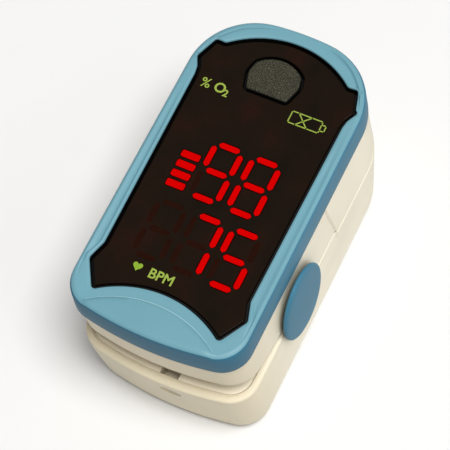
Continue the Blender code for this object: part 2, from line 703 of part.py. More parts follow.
def make_bezel_frame():
    """Blue frame: a skirt, a rounded ridge, a shelf for the window and screw bosses."""
    levels = [
        (BEZEL_BASE_Z, body_outline(15.55, -29.45, 29.45)),
        (32.6, body_outline(15.3, -29.2, 29.2)),
        (33.7, body_outline(15.0, -28.9, 28.9)),
        (34.25, body_outline(14.5, -28.4, 28.4, -0.4)),
        (BEZEL_TOP_Z, body_outline(14.2, -28.1, 28.1, -0.7)),
    ]
    frame = stack("bezel_frame", levels, "blue_plastic")
    cavity_outline = body_outline(14.0, -27.9, 27.9, -1.4)
    cavity = stack("bezel_cavity", [(20.0, cavity_outline), (31.5, cavity_outline)])
    window = window_outline()
    recess = plate("window_recess", offset_outline(window, 0.25), 32.4, 40.0)
    through = plate("window_through", offset_outline(window, -0.9), 30.0, 36.0)
    cut(frame, cavity, recess, through)
    upper_r = 19.2
    lower_r = 58.0
    half_angle = math.asin(11.2 / upper_r)
    upper_side = arc((0.0, -23.5 - upper_r), upper_r, math.pi / 2 - half_angle,
                     math.pi / 2 + half_angle, 12)
    edge_angle = math.asin(11.0 / lower_r)
    lower_side = arc((0.0, -28.3 + lower_r), lower_r, 1.5 * math.pi - edge_angle,
                     1.5 * math.pi + edge_angle, 8)
    cut(frame, plate("thumb_recess", upper_side + lower_side, 33.95, 40.0))
    for side in (-1, 1):
        for index, (x, y) in enumerate(BOSSES):
            boss = rod(f"upper_boss_{side}_{index}", "Z", (side * x, y, 28.3), 1.6, 6.9,
                       segments=16)
            pilot = rod(f"upper_pilot_{side}_{index}", "Z", (side * x, y, 26.5), PILOT_R, 5.0,
                        segments=16)
            join(frame, boss)
            cut(frame, pilot)


def make_window_and_button():
    window = plate("display_window", window_outline(), *WINDOW_Z, "tinted_window")
    outline = button_outline()
    cut(window, plate("button_hole", offset_outline(outline, 0.35), 30.0, 36.0))
    button = plate("power_button", outline, BUTTON_FLANGE_Z[0], BUTTON_TOP_Z, "button_plastic")
    flange = plate("button_flange", offset_outline(outline, 0.8), *BUTTON_FLANGE_Z)
    join(button, flange)


# ---------------------------------------------------------------- fasteners

def make_screw(name, x, y, head_low, head_up, tip):
    """Pan-head screw: the head spans head_low to head_up, and the shank ends at tip."""
    middle = (head_low + head_up) / 2
    screw = rod(name, "Z", (x, y, middle), 1.4, head_up - head_low, "steel", segments=20)
    shank = rod(name + "_shank", "Z", (x, y, (middle + tip) / 2), 0.65, abs(tip - middle),
                segments=16)
    join(screw, shank)


def make_screws():
    for group, places, heights in (("upper", BOSSES, (21.9, 22.9, 27.8)),
                                   ("lower", LOWER_SCREWS, (15.6, 16.25, 10.0))):
        sided = [(side * x, y) for side in (-1, 1) for x, y in places]
        for number, (x, y) in enumerate(sided, 1):
            make_screw(f"{group}_screw_{number}", x, y, *heights)


def put_origins_on_joints():
    """Moves the origin of each moving piece onto its joint axis."""
    clamp = Vector((0.0, PIVOT_Y * MM, PIVOT_Z * MM))
    for name in ("upper_shell", "bezel_frame", "upper_inner_cover"):
        obj = bpy.data.objects[name]
        obj.data.transform(Matrix.Translation(-clamp))
        obj.location = clamp
    press = Vector((BUTTON_X * MM, BUTTON_Y * MM, BUTTON_TOP_Z * MM))
    button = bpy.data.objects["power_button"]
    button.data.transform(Matrix.Translation(-press))
    button.location = press


def main():
    make_lower_shell()
    make_lower_inner_cover()
    make_pads()
    make_battery_cover()
    make_cell(1)
    make_cell(-1)
    make_contacts()
    make_sensor("photodiode", 11.9, 12.75)
    make_sensor("emitter_led", 25.95, 26.8)
    make_hinge()
    make_torsion_springs()
    make_flex_cable()
    make_upper_shell()
    make_upper_inner_cover()
    make_electronics()
    make_bezel_frame()
    make_window_and_button()
    make_screws()
    put_origins_on_joints()


main()
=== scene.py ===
"""Looks of the fingertip pulse oximeter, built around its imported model.

The frame is the model's own: +Z up, +Y towards the finger opening, the origin at the
middle of the base. Lengths are in millimetres and become metres when a mesh is made.
"""
import math

import bmesh
import bpy
import numpy as np
from mathutils import Matrix, Vector
from mathutils.geometry import tessellate_polygon


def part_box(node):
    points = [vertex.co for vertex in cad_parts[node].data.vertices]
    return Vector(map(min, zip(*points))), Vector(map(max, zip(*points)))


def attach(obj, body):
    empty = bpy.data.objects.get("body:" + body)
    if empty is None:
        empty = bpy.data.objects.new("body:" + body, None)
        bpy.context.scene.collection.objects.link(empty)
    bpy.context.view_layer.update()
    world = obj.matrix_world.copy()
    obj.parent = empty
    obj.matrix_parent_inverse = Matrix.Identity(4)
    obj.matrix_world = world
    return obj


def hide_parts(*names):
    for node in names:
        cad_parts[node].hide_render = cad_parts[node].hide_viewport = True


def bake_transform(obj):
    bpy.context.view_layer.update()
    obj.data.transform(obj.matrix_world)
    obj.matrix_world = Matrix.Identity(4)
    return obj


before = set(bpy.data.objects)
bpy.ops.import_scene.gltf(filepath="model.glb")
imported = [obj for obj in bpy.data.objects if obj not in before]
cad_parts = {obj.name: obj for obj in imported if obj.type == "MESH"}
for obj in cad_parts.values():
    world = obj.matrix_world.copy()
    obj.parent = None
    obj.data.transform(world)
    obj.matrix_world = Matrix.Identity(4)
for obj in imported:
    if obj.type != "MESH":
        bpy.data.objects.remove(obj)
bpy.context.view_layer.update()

MM = 0.001
RING_STEPS = 96                          # points round the large ovals

# Heights and plan sizes shared by the pieces
RIM_Z = 16.5
SEAM_Z = 16.8
SHELL_TOP_Z = 28.6
BEZEL_BASE_Z = 28.9
BEZEL_CREST_Z = 34.385
FLANGE_LOW_Z = 32.72                     # underside of the window and of its button hole
WINDOW_TOP_Z = 34.0
WALL = 1.4
NEAR_BULGE = 61.0
FAR_BULGE = 48.0
NEAR_CORNER = 5.1
FAR_CORNER = 11.3
PIVOT = (0.0, -8.0, 17.2)
GAPE_SLOPE = (21.9 - SEAM_Z) / 22.0      # rise of the V gap towards the pinch end
CHAMBER_Z = 19.4
CHAMBER_HALF = 9.6
CHAMBER_RISE = 4.9
PAD = 1.4
MOUTH = PAD + 0.3                        # the casing's finger arch is this much larger
BUTTON_X = -0.75
LANYARD_X = 1.5
STEP_TOP = (3.8, 28.3)                   # slanted step in the side wall, as (y, z)
STEP_LOW = (5.8, 16.2)
STEP_DEPTH = 0.36


# ---------------------------------------------------------------- small maths

FILLET_STEPS = 5


def smoothstep(value, low, high):
    t = np.clip((np.asarray(value, float) - low) / (high - low), 0.0, 1.0)
    return t * t * (3.0 - 2.0 * t)


def unit(vector):
    return vector / np.linalg.norm(vector, axis=-1, keepdims=True)


def arc(centre, radius, start, end, steps):
    angles = np.linspace(start, end, steps + 1)
    return np.column_stack([centre[0] + radius * np.cos(angles),
                            centre[1] + radius * np.sin(angles)])


def round_angles(steps):
    """Angles once round, the last one short of the first."""
    return np.linspace(0.0, math.tau, steps, endpoint=False)


def disc(centre, radius, steps):
    return arc(centre, radius, 0.0, math.tau * (steps - 1) / steps, steps - 1)


def fillet(before, corner, after, radius):
    """Points of the arc that rounds one corner of an outline."""
    to_before = unit(before - corner)
    to_after = unit(after - corner)
    half = math.acos(float(np.clip(to_before @ to_after, -1.0, 1.0))) / 2.0
    start = corner + to_before * radius / math.tan(half)
    end = corner + to_after * radius / math.tan(half)
    centre = corner + unit(to_before + to_after) * radius / math.sin(half)
    first = math.atan2(start[1] - centre[1], start[0] - centre[0])
    last = math.atan2(end[1] - centre[1], end[0] - centre[0])
    sweep = (last - first + math.pi) % (math.tau) - math.pi
    return arc(centre, radius, first, first + sweep, FILLET_STEPS)


def rounded(corners):
    """Closed outline from (x, y, radius) corners; a radius of 0 keeps the point."""
    places = np.array([corner[:2] for corner in corners], float)
    points = []
    for index, (x, y, radius) in enumerate(corners):
        if radius == 0:
            points.append(np.array([[x, y]]))
        else:
            after = places[(index + 1) % len(places)]
            points.append(fillet(places[index - 1], places[index], after, radius))
    return np.concatenate(points)


def subdivided(outline, step):
    """Adds points so that no side of a closed outline is longer than the step."""
    points = []
    for here, after in zip(outline, np.roll(outline, -1, axis=0)):
        parts = max(1, math.ceil(float(np.linalg.norm(after - here)) / step))
        points.extend(here + (after - here) * i / parts for i in range(parts))
    return np.array(points)


def outward(outline):
    """Normals of a closed anticlockwise outline, longer at its corners."""
    along_before = unit(outline - np.roll(outline, 1, axis=0))
    along_after = unit(np.roll(outline, -1, axis=0) - outline)
    normal_before = np.column_stack([along_before[:, 1], -along_before[:, 0]])
    normal_after = np.column_stack([along_after[:, 1], -along_after[:, 0]])
    middle = unit(normal_before + normal_after)
    stretch = np.maximum((middle * normal_before).sum(axis=1), 0.5)
    return middle / stretch[:, None]


def offset(outline, distance):
    return outline + outward(outline) * distance


def at_height(outline, z):
    heights = np.broadcast_to(np.asarray(z, float), (len(outline),))
    return np.column_stack([outline, heights])


# ---------------------------------------------------------------- outlines

SIDE_SHARES = np.unique(np.round(np.concatenate([
    np.linspace(0.0, 1.0, 45), np.linspace(0.60, 0.72, 25)]), 4))


def end_half(half_width, end, bulge, corner):
    """Right-hand half of a bulged end, from its side to its middle."""
    corner_steps, end_steps = 18, 22
    centre_y = end - bulge
    corner_x = half_width - corner
    corner_y = centre_y + math.sqrt((bulge - corner) ** 2 - corner_x ** 2)
    meet = math.atan2(corner_y - centre_y, corner_x)
    near_side = arc((corner_x, corner_y), corner, 0.0, meet, corner_steps)
    return np.concatenate([near_side, arc((0.0, centre_y), bulge, meet, math.pi / 2, end_steps)[1:]])


def plan(half_width, near, far, extra=0.0):
    """Closed plan of the casing, anticlockwise from the middle of the pinch end."""
    far_end = end_half(half_width, far, FAR_BULGE, FAR_CORNER + extra)
    near_end = end_half(half_width, -near, NEAR_BULGE, NEAR_CORNER + extra)[::-1] * (1, -1)
    low, high = near_end[-1], far_end[0]
    side = low + (high - low) * SIDE_SHARES[1:-1, None]
    right = np.concatenate([near_end, side, far_end])
    return np.concatenate([right, right[-2:0:-1] * (-1, 1)])


def window_outline():
    """Notched window with two small ears at its far corners."""
    right = [(10.95, -24.85, 0.45), (13.55, -20.5, 0.7), (12.55, -17.35, 1.6),
             (12.95, 15.7, 2.0), (13.2, 17.1, 1.2), (14.05, 18.8, 0.5), (12.6, 22.6, 0.4),
             (11.0, 22.5, 1.0)]
    top_r = 16.5
    top_start = math.acos(10.5 / top_r)
    top = arc((0.0, 26.6 - top_r), top_r, top_start, math.pi - top_start, 40)
    low_r = 18.9
    low_start = math.acos(10.2 / low_r)
    low = arc((0.0, -21.35 - low_r), low_r, math.pi - low_start, low_start, 32)
    left = [(-x, y, r) for x, y, r in reversed(right)]
    corners = right + [(x, y, 0) for x, y in top] + left + [(x, y, 0) for x, y in low]
    return subdivided(rounded(corners), 0.7)


def button_outline():
    """D shape: narrower and flat towards the digits, arched towards the finger end."""
    crown_r = 6.0
    crown_start = math.acos(4.5 / crown_r)
    crown = arc((0.0, 23.7 - crown_r), crown_r, crown_start, math.pi - crown_start, 30)
    right = [(3.95, 15.95, 0.9), (5.05, 19.5, 2.2)]
    left = [(-x, y, r) for x, y, r in reversed(right)]
    outline = subdivided(rounded(right + [(x, y, 0) for x, y in crown] + left), 0.5)
    return outline + (BUTTON_X, 0.0)


# ---------------------------------------------------------------- mesh builders

def linked(name, data):
    obj = bpy.data.objects.new(name, data)
    bpy.context.scene.collection.objects.link(obj)
    return obj


def finish_mesh(name, mesh, material, body, replaced=(), sharp=40.0):
    """Turns a mesh in metres into a piece that rides on a body, if one is given."""
    mesh.shade_smooth()
    mesh.set_sharp_from_angle(angle=math.radians(sharp))
    mesh.materials.append(material)
    piece = linked(name, mesh)
    if body:
        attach(piece, body)
    if replaced:
        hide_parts(*replaced)
    return piece


def loft(rings, closed=False, caps=False):
    """Mesh through rings of equal length, each a list of (x, y, z) in millimetres."""
    count = len(rings[0])
    verts = np.concatenate(rings) * MM
    pairs = list(zip(range(len(rings) - 1), range(1, len(rings))))
    if closed:
        pairs.append((len(rings) - 1, 0))
    faces = []
    for low, high in pairs:
        for i in range(count):
            j = (i + 1) % count
            faces.append((low * count + i, low * count + j, high * count + j, high * count + i))
    if caps:
        faces.append(tuple(reversed(range(count))))
        faces.append(tuple(range((len(rings) - 1) * count, len(rings) * count)))
    mesh = bpy.data.meshes.new("loft")
    mesh.from_pydata(verts.tolist(), [], faces)
    bm = bmesh.new()
    bm.from_mesh(mesh)
    bmesh.ops.recalc_face_normals(bm, faces=bm.faces)
    bm.to_mesh(mesh)
    bm.free()
    return mesh


def pierced(outer, inner):
    """Closed plate with one hole: rings up its outer side and rings up the hole's side."""
    verts = np.concatenate(outer + inner)
    faces = []
    start = 0
    for rings, turn in ((outer, 1), (inner, -1)):
        count = len(rings[0])
        for level in range(len(rings) - 1):
            low, high = start + level * count, start + (level + 1) * count
            for i in range(count):
                j = (i + 1) % count
                faces.append((low + i, low + j, high + j, high + i)[::turn])
        start += count * len(rings)
    hole_start = len(outer) * len(outer[0])
    for level, turn in ((0, -1), (-1, 1)):
        loops = [[Vector(point) for point in rings[level]] for rings in (outer, inner)]
        edge_start = (len(outer) - 1) * len(outer[0]) if level else 0
        hole = hole_start + ((len(inner) - 1) * len(inner[0]) if level else 0) - len(outer[0])
        for triangle in tessellate_polygon(loops):
            corners = [edge_start + i if i < len(outer[0]) else hole + i for i in triangle]
            first, second, third = (verts[i][:2] for i in corners)
            upward = (second - first)[0] * (third - first)[1] > (second - first)[1] * (third - first)[0]
            faces.append(tuple(corners[::turn if upward else -turn]))
    mesh = bpy.data.meshes.new("plate")
    mesh.from_pydata((verts * MM).tolist(), [], faces)
    return mesh


def evaluated_mesh(obj):
    """The object's mesh with its modifiers or its curve settings applied."""
    bpy.context.view_layer.update()
    evaluated = obj.evaluated_get(bpy.context.evaluated_depsgraph_get())
    return bpy.data.meshes.new_from_object(evaluated)


def carved(mesh, cutters):
    """The mesh with every cutter taken away, as a new mesh."""
    blank = linked("blank", mesh)
    for cutter in cutters:
        modifier = blank.modifiers.new("carve", "BOOLEAN")
        modifier.operation = "DIFFERENCE"
        modifier.object = cutter
        modifier.solver = "EXACT"
    result = evaluated_mesh(blank)
    for obj in [blank, *cutters]:
        bpy.data.objects.remove(obj)
    return result


def stadium(centre, half, radius, steps=8):
    """Anticlockwise rectangle with round corners, in plan."""
    points = []
    for sx, sy, start in ((1, -1, -0.5), (1, 1, 0.0), (-1, 1, 0.5), (-1, -1, 1.0)):
        middle = (centre[0] + sx * (half[0] - radius), centre[1] + sy * (half[1] - radius))
        points.append(arc(middle, radius, start * math.pi, (start + 0.5) * math.pi, steps))
    return np.concatenate(points)


def prism(outline, low, high):
    return linked("cutter", loft([at_height(outline, low), at_height(outline, high)], caps=True))


def chamber_rings(profile):
    """Rings of the finger chamber's oval tube, one for each (y, growth) of the profile."""
    angles = round_angles(RING_STEPS)
    rings = []
    for y, growth in profile:
        rings.append(np.column_stack([(CHAMBER_HALF + growth) * np.cos(angles), np.full(RING_STEPS, y),
                                      CHAMBER_Z + (CHAMBER_RISE + growth) * np.sin(angles)]))
    return rings


def paint_below(piece, material, z):
    """Gives the faces below a height a second material."""
    piece.data.materials.append(material)
    for polygon in piece.data.polygons:
        if polygon.center.z < z * MM:
            polygon.material_index = 1


# ---------------------------------------------------------------- materials

class Finish:
    """A node material: a Principled shader fed by procedural textures in object space."""

    def __init__(self, name, metallic=0.0, specular=0.5, coat=0.0):
        self.material = bpy.data.materials.new(name)
        self.material.use_nodes = True
        self.nodes = self.material.node_tree.nodes
        self.links = self.material.node_tree.links
        self.shader = self.nodes["Principled BSDF"]
        self.shader.inputs["Metallic"].default_value = metallic
        self.shader.inputs["Specular IOR Level"].default_value = specular
        self.shader.inputs["Coat Weight"].default_value = coat
        self.place = self.nodes.new("ShaderNodeTexCoord").outputs["Object"]

    def stretched(self, scale):
        mapping = self.nodes.new("ShaderNodeMapping")
        mapping.inputs["Scale"].default_value = scale
        self.links.new(self.place, mapping.inputs["Vector"])
        return mapping.outputs["Vector"]

    def noise(self, size, detail=2.0, vector=None, roughness=0.5):
        """Noise whose patches are about the given size in millimetres."""
        node = self.nodes.new("ShaderNodeTexNoise")
        node.inputs["Scale"].default_value = 1.0 / (size * MM)
        node.inputs["Detail"].default_value = detail
        node.inputs["Roughness"].default_value = roughness
        self.links.new(self.place if vector is None else vector, node.inputs["Vector"])
        return node.outputs["Fac"]

    def ramp(self, value, *stops):
        """Colour ramp of (position, colour) stops."""
        node = self.nodes.new("ShaderNodeValToRGB")
        elements = node.color_ramp.elements
        while len(elements) < len(stops):
            elements.new(0.5)
        for element, (position, colour) in zip(elements, stops):
            element.position = position
            element.color = (*colour, 1.0)
        self.links.new(value, node.inputs["Fac"])
        return node.outputs["Color"]

    def spread(self, value, low, high, from_low=0.3, from_high=0.7):
        node = self.nodes.new("ShaderNodeMapRange")
        node.inputs["From Min"].default_value = from_low
        node.inputs["From Max"].default_value = from_high
        node.inputs["To Min"].default_value = low
        node.inputs["To Max"].default_value = high
        self.links.new(value, node.inputs["Value"])
        return node.outputs["Result"]

    def mix(self, share, first, second, kind="MIX"):
        node = self.nodes.new("ShaderNodeMix")
        node.data_type = "RGBA"
        node.blend_type = kind
        for socket, value in ((node.inputs[0], share), (node.inputs[6], first),
                              (node.inputs[7], second)):
            if isinstance(value, bpy.types.NodeSocket):
                self.links.new(value, socket)
            elif isinstance(value, tuple):
                socket.default_value = (*value, 1.0)
            else:
                socket.default_value = value
        return node.outputs[2]

    def painted_gap_shade(self, reach):
        """Share of open surroundings: below 1 in gaps and corners, where it paints shade."""
        node = self.nodes.new("ShaderNodeAmbientOcclusion")
        node.samples = 6
        node.inputs["Distance"].default_value = reach * MM
        return self.spread(node.outputs["AO"], 0.0, 1.0, 0.15, 0.75)

    def along_y(self):
        split = self.nodes.new("ShaderNodeSeparateXYZ")
        self.links.new(self.place, split.inputs["Vector"])
        return split.outputs["Y"]

    def bump(self, height, depth, strength=0.5):
        node = self.nodes.new("ShaderNodeBump")
        node.inputs["Distance"].default_value = depth * MM
        node.inputs["Strength"].default_value = strength
        self.links.new(height, node.inputs["Height"])
        return node.outputs["Normal"]

    def wire(self, **sockets):
        for name, output in sockets.items():
            self.links.new(output, self.shader.inputs[name.replace("_", " ")])
        return self.material


def tint(colour, factor):
    return tuple(min(1.0, channel * factor) for channel in colour)


MOULD_GRAIN = 0.14
MOULD_DEPTH = 0.006
NEAR_SHADE_FULL_Y = -27.0
NEAR_SHADE_END_Y = -11.0


def moulded(name, colour, shade, roughness, specular=0.5, reach=1.6, near_shade=None):
    """Injection-moulded plastic: cloudy colour, fine grain, and painted shade in its gaps and corners.

    Towards the pinch end the colour is multiplied darker and warmer: painted shade, the tone
    of that end in shadow, not the plastic's own colour. It matches the darker, warmer tone of the
    reference there, which may be lighting and not the plastic's own colour.
    """
    finish = Finish(name, specular=specular)
    cloud = finish.noise(14.0, 3.0)
    fine = finish.noise(MOULD_GRAIN, 3.0)
    body = finish.ramp(cloud, (0.3, tint(colour, 0.95)), (0.7, tint(colour, 1.04)))
    speck = finish.ramp(fine, (0.25, (0.93, 0.93, 0.93)), (0.75, (1.04, 1.04, 1.04)))
    body = finish.mix(1.0, body, speck, "MULTIPLY")
    # Painted shade: the shade colour fills gaps and corners.
    body = finish.mix(finish.painted_gap_shade(reach), shade, body)
    if near_shade is not None:
        # Painted shade: darker and warmer towards the pinch end.
        share = finish.spread(finish.along_y(), 1.0, 0.0, NEAR_SHADE_FULL_Y * MM, NEAR_SHADE_END_Y * MM)
        body = finish.mix(share, body, finish.mix(1.0, body, near_shade, "MULTIPLY"))
    return finish.wire(Base_Color=body, Roughness=finish.spread(fine, roughness - 0.05, roughness + 0.07),
                       Normal=finish.bump(fine, MOULD_DEPTH))


def brushed_metal(name, colour, roughness):
    finish = Finish(name, metallic=1.0)
    streaks = finish.noise(1.2, 4.0, finish.stretched((1.0, 14.0, 14.0)))
    spots = finish.noise(3.0, 3.0)
    body = finish.ramp(spots, (0.3, tint(colour, 0.82)), (0.7, colour))
    return finish.wire(Base_Color=body, Normal=finish.bump(streaks, 0.01, 0.35),
                       Roughness=finish.spread(streaks, roughness - 0.08, roughness + 0.12))


def tinted_panel():
    """Dark brown window with a faint red cast in stretched patches."""
    finish = Finish("tinted_panel", specular=0.12)
    patches = finish.noise(5.5, 3.0, finish.stretched((1.0, 0.7, 0.2)))
    body = finish.ramp(patches, (0.34, (0.0072, 0.0045, 0.0026)), (0.56, (0.0105, 0.0052, 0.0028)),
                       (0.74, (0.0160, 0.0050, 0.0030)))
    dust = finish.noise(0.5, 4.0)
    return finish.wire(Base_Color=body, Roughness=finish.spread(dust, 0.13, 0.2),
                       Normal=finish.bump(finish.noise(9.0, 2.0), 0.004, 0.3))


def glowing(name, colour, rim):
    """A display segment that gives off its own colour, a little deeper in cloudy patches."""
    finish = Finish(name, specular=0.0)
    patches = finish.noise(0.9, 2.0)
    finish.shader.inputs["Emission Strength"].default_value = 1.0
    glow = finish.ramp(patches, (0.3, tint(colour, 0.93)), (0.7, colour))
    body = finish.ramp(patches, (0.3, rim), (0.7, tint(rim, 1.3)))
    return finish.wire(Base_Color=body, Emission_Color=glow, Roughness=finish.spread(patches, 0.3, 0.4))


def grained(name, colour, specular, noise, shades, roughness, depth):
    """Plain finish whose colour, roughness and relief follow one fine noise."""
    finish = Finish(name, specular=specular)
    fine = finish.noise(*noise)
    body = finish.ramp(fine, (0.3, tint(colour, shades[0])), (0.7, tint(colour, shades[1])))
    return finish.wire(Base_Color=body, Roughness=finish.spread(fine, *roughness),
                       Normal=finish.bump(fine, depth))


def ink(name, colour):
    return grained(name, colour, specular=0.2, noise=(0.25, 3.0), shades=(0.82, 1.1),
                   roughness=(0.5, 0.65), depth=0.01)


def chip_resin(name, colour):
    return grained(name, colour, specular=0.35, noise=(0.2, 4.0), shades=(0.75, 1.2),
                   roughness=(0.5, 0.68), depth=0.012)


def speckled_button():
    """Dark plastic with fine metallic-looking specks."""
    finish = Finish("speckled_button", specular=0.15)
    specks = finish.noise(0.16, 2.0, roughness=0.7)
    cloud = finish.noise(3.0, 2.0)
    body = finish.ramp(specks, (0.36, (0.010, 0.0095, 0.005)), (0.52, (0.034, 0.032, 0.019)),
                       (0.68, (0.110, 0.105, 0.075)))
    lift = finish.ramp(cloud, (0.3, (0.85, 0.85, 0.85)), (0.7, (1.1, 1.1, 1.1)))
    return finish.wire(Base_Color=finish.mix(1.0, body, lift, "MULTIPLY"),
                       Roughness=finish.spread(specks, 0.45, 0.6), Normal=finish.bump(specks, 0.02, 0.6))


def soft_rubber():
    """Dark grey silicone with a matt, finely grained skin."""
    finish = Finish("soft_rubber", specular=0.3)
    fine = finish.noise(0.3, 4.0)
    cloud = finish.noise(6.0, 2.0)
    body = finish.ramp(cloud, (0.3, (0.085, 0.090, 0.098)), (0.7, (0.115, 0.121, 0.130)))
    return finish.wire(Base_Color=body, Roughness=finish.spread(fine, 0.6, 0.78),
                       Normal=finish.bump(fine, 0.02, 0.4))


def green_board():
    """Solder mask with darker copper tracks under it."""
    finish = Finish("green_board", coat=0.2)
    tracks = finish.nodes.new("ShaderNodeTexBrick")
    tracks.inputs["Scale"].default_value = 900.0
    tracks.inputs["Mortar Size"].default_value = 0.08
    finish.links.new(finish.place, tracks.inputs["Vector"])
    body = finish.mix(tracks.outputs["Fac"], (0.018, 0.11, 0.045), (0.035, 0.21, 0.085))
    cloud = finish.noise(4.0, 3.0)
    return finish.wire(Base_Color=body, Roughness=finish.spread(cloud, 0.3, 0.45),
                       Normal=finish.bump(tracks.outputs["Fac"], 0.03, 0.4))


def lens_resin():
    finish = Finish("lens_resin", specular=0.5)
    fine = finish.noise(1.0, 2.0)
    body = finish.ramp(fine, (0.3, (0.38, 0.035, 0.03)), (0.7, (0.52, 0.06, 0.05)))
    return finish.wire(Base_Color=body, Roughness=finish.spread(fine, 0.08, 0.16))


def polyimide():
    """Amber cable film with copper lines along it."""
    finish = Finish("polyimide", specular=0.5)
    lines = finish.nodes.new("ShaderNodeTexWave")
    lines.inputs["Scale"].default_value = 520.0
    lines.inputs["Distortion"].default_value = 0.0
    finish.links.new(finish.place, lines.inputs["Vector"])
    body = finish.ramp(lines.outputs["Fac"], (0.35, (0.50, 0.20, 0.035)), (0.6, (0.30, 0.105, 0.02)))
    return finish.wire(Base_Color=body, Roughness=finish.spread(finish.noise(0.8), 0.25, 0.4))


COPPER_FROM_MIDDLE = 11.0


def battery_jacket(name, copper_side, middle_y):
    """Black sleeve with a copper-coloured band towards the positive end."""
    finish = Finish(name, metallic=0.35, coat=0.4)
    edge = middle_y + copper_side * COPPER_FROM_MIDDLE
    blur = copper_side * 0.05
    share = finish.spread(finish.along_y(), 0.0, 1.0, (edge - blur) * MM, (edge + blur) * MM)
    scuffs = finish.noise(0.7, 4.0)
    black = finish.ramp(scuffs, (0.35, (0.018, 0.018, 0.02)), (0.7, (0.035, 0.035, 0.038)))
    copper = finish.ramp(scuffs, (0.35, (0.50, 0.22, 0.09)), (0.7, (0.62, 0.30, 0.13)))
    return finish.wire(Base_Color=finish.mix(share, black, copper),
                       Roughness=finish.spread(scuffs, 0.24, 0.4))


# The three blues are one plastic. The skirt and the hinge covers carry painted shade, a darker blue,
# and the edge of the thumb recess a painted highlight, a lighter blue.
BLUE = moulded("blue_abs", (0.135, 0.305, 0.365), (0.055, 0.15, 0.19), 0.46, specular=0.3, reach=0.8)
SHADED_BLUE = moulded("shaded_blue_abs", (0.050, 0.178, 0.268), (0.03, 0.09, 0.125), 0.5, specular=0.12,
                    reach=0.8, near_shade=(0.66, 0.76, 0.78))
HIGHLIGHT_BLUE = moulded("highlight_blue_abs", (0.27, 0.47, 0.53), (0.16, 0.32, 0.37), 0.45, specular=0.3,
                    reach=0.5)
# The cream carries painted shade, darker and warmer towards the pinch end.
CREAM = moulded("cream_abs", (0.80, 0.745, 0.60), (0.36, 0.285, 0.18), 0.45, specular=0.25,
                reach=1.1, near_shade=(0.86, 0.82, 0.745))
INNER_CREAM = moulded("inner_cream_abs", (0.82, 0.74, 0.58), (0.36, 0.28, 0.17), 0.45, specular=0.25,
                      reach=1.1)
# Black painted into the grooves round the window and the button, as their shade.
GROOVE_SHADE = moulded("painted_groove_shade", (0.0035, 0.004, 0.0045), (0.002, 0.002, 0.002), 0.5, specular=0.15)
PANEL = tinted_panel()
STEEL = brushed_metal("axle_steel", (0.62, 0.61, 0.59), 0.28)
NICKEL = brushed_metal("contact_nickel", (0.72, 0.68, 0.60), 0.26)
RUBBER = soft_rubber()


# ---------------------------------------------------------------- blue bezel

def reach_to(outline, starts, aims):
    """Distance from each start, along its aim, to a closed outline around it."""
    ends = np.roll(outline, -1, axis=0)
    sides = ends - outline

    def cross(a, b):
        return a[..., 0] * b[..., 1] - a[..., 1] * b[..., 0]

    gaps = outline[None] - starts[:, None]
    turning = cross(aims[:, None], sides[None])
    safe = np.where(np.abs(turning) < 1e-12, 1e-12, turning)
    distance = cross(gaps, sides[None]) / safe
    share = cross(gaps, aims[:, None]) / safe
    hit = (distance > 0) & (share >= -1e-7) & (share <= 1 + 1e-7)
    return np.where(hit, distance, np.inf).min(axis=1)


SHELF_Z = 31.5                           # underside of the frame's top
WINDOW_SEAT_Z = 32.4
BEAD_OUT = 0.54                          # top of the bead, beyond the window's outline
RIDGE_HALF = 14.75
RIDGE_END = 28.62
CREASE_WIDTH = 0.42
THUMB_R = 19.2
THUMB_CENTRE = np.array([0.0, -23.5 - THUMB_R])
THUMB_TIP = 11.2
THUMB_RISE = 0.40
THUMB_NEAR_Y = -22.0                     # the pad lies on the pinch side of this
SLOPE_START_Y = -17.0
SLOPE_END_Y = -28.5
SLOPE_DROP = 0.35


def crease_stations(inner, ridge):
    """For each column, how far beyond the inner bead the surface first dips."""
    span = ridge - inner
    length = np.linalg.norm(span, axis=1)
    aim = span / length[:, None]
    offset_in = inner - THUMB_CENTRE
    b = (offset_in * aim).sum(axis=1)
    c = (offset_in ** 2).sum(axis=1) - THUMB_R ** 2
    root = np.sqrt(np.maximum(b * b - c, 0.0))
    to_arc = -b - root
    hits = inner + aim * to_arc[:, None]
    near = (np.abs(hits[:, 0]) < THUMB_TIP + 0.2) & (b * b > c) & (inner[:, 1] < -20.5)
    side_crease = 0.22 + 1.15 * smoothstep(inner[:, 1], 16.5, 21.0)
    known = near | (inner[:, 1] > -18.5)
    value = np.where(near, to_arc, side_crease)
    index = np.arange(len(inner))
    filled = np.interp(index, index[known], value[known], period=len(inner))
    return np.clip(filled, 0.12, length - 0.55), length


def top_surface(points, beyond, length):
    """Height of the bezel's top at plan points.

    It slopes down towards the pinch end, carries the raised thumb pad there, and has
    shallow hollows along its sides and at its far shoulders.
    """
    x, y = points[:, 0], points[:, 1]
    slope = SLOPE_DROP * smoothstep(y, SLOPE_START_Y, SLOPE_END_Y)
    inside = THUMB_R - np.linalg.norm(points - THUMB_CENTRE, axis=1)
    pad = smoothstep(inside, 0.0, 0.5) * (1.0 - smoothstep(np.abs(x), 10.6, THUMB_TIP + 0.35))
    pad = np.where(y < THUMB_NEAR_Y, pad * (THUMB_RISE + 0.1 * smoothstep(inside, 0.3, 2.2)), 0.0)
    share = np.clip(beyond / np.maximum(length, 0.1), 0.0, 1.0)
    rise = 1.0 - smoothstep(share, 0.45, 1.0)
    drop = smoothstep(beyond, 0.0, 0.3)
    sides = 0.20 * smoothstep(y, 15.0, 4.0) * smoothstep(y, -24.5, -19.0)
    shoulders = 0.22 * smoothstep(y, 18.5, 22.0) * smoothstep(np.abs(x), 3.0, 8.0)
    hollow = np.where(beyond > 0, (sides + shoulders) * drop * rise, 0.0)
    return BEZEL_CREST_Z - slope + pad - hollow


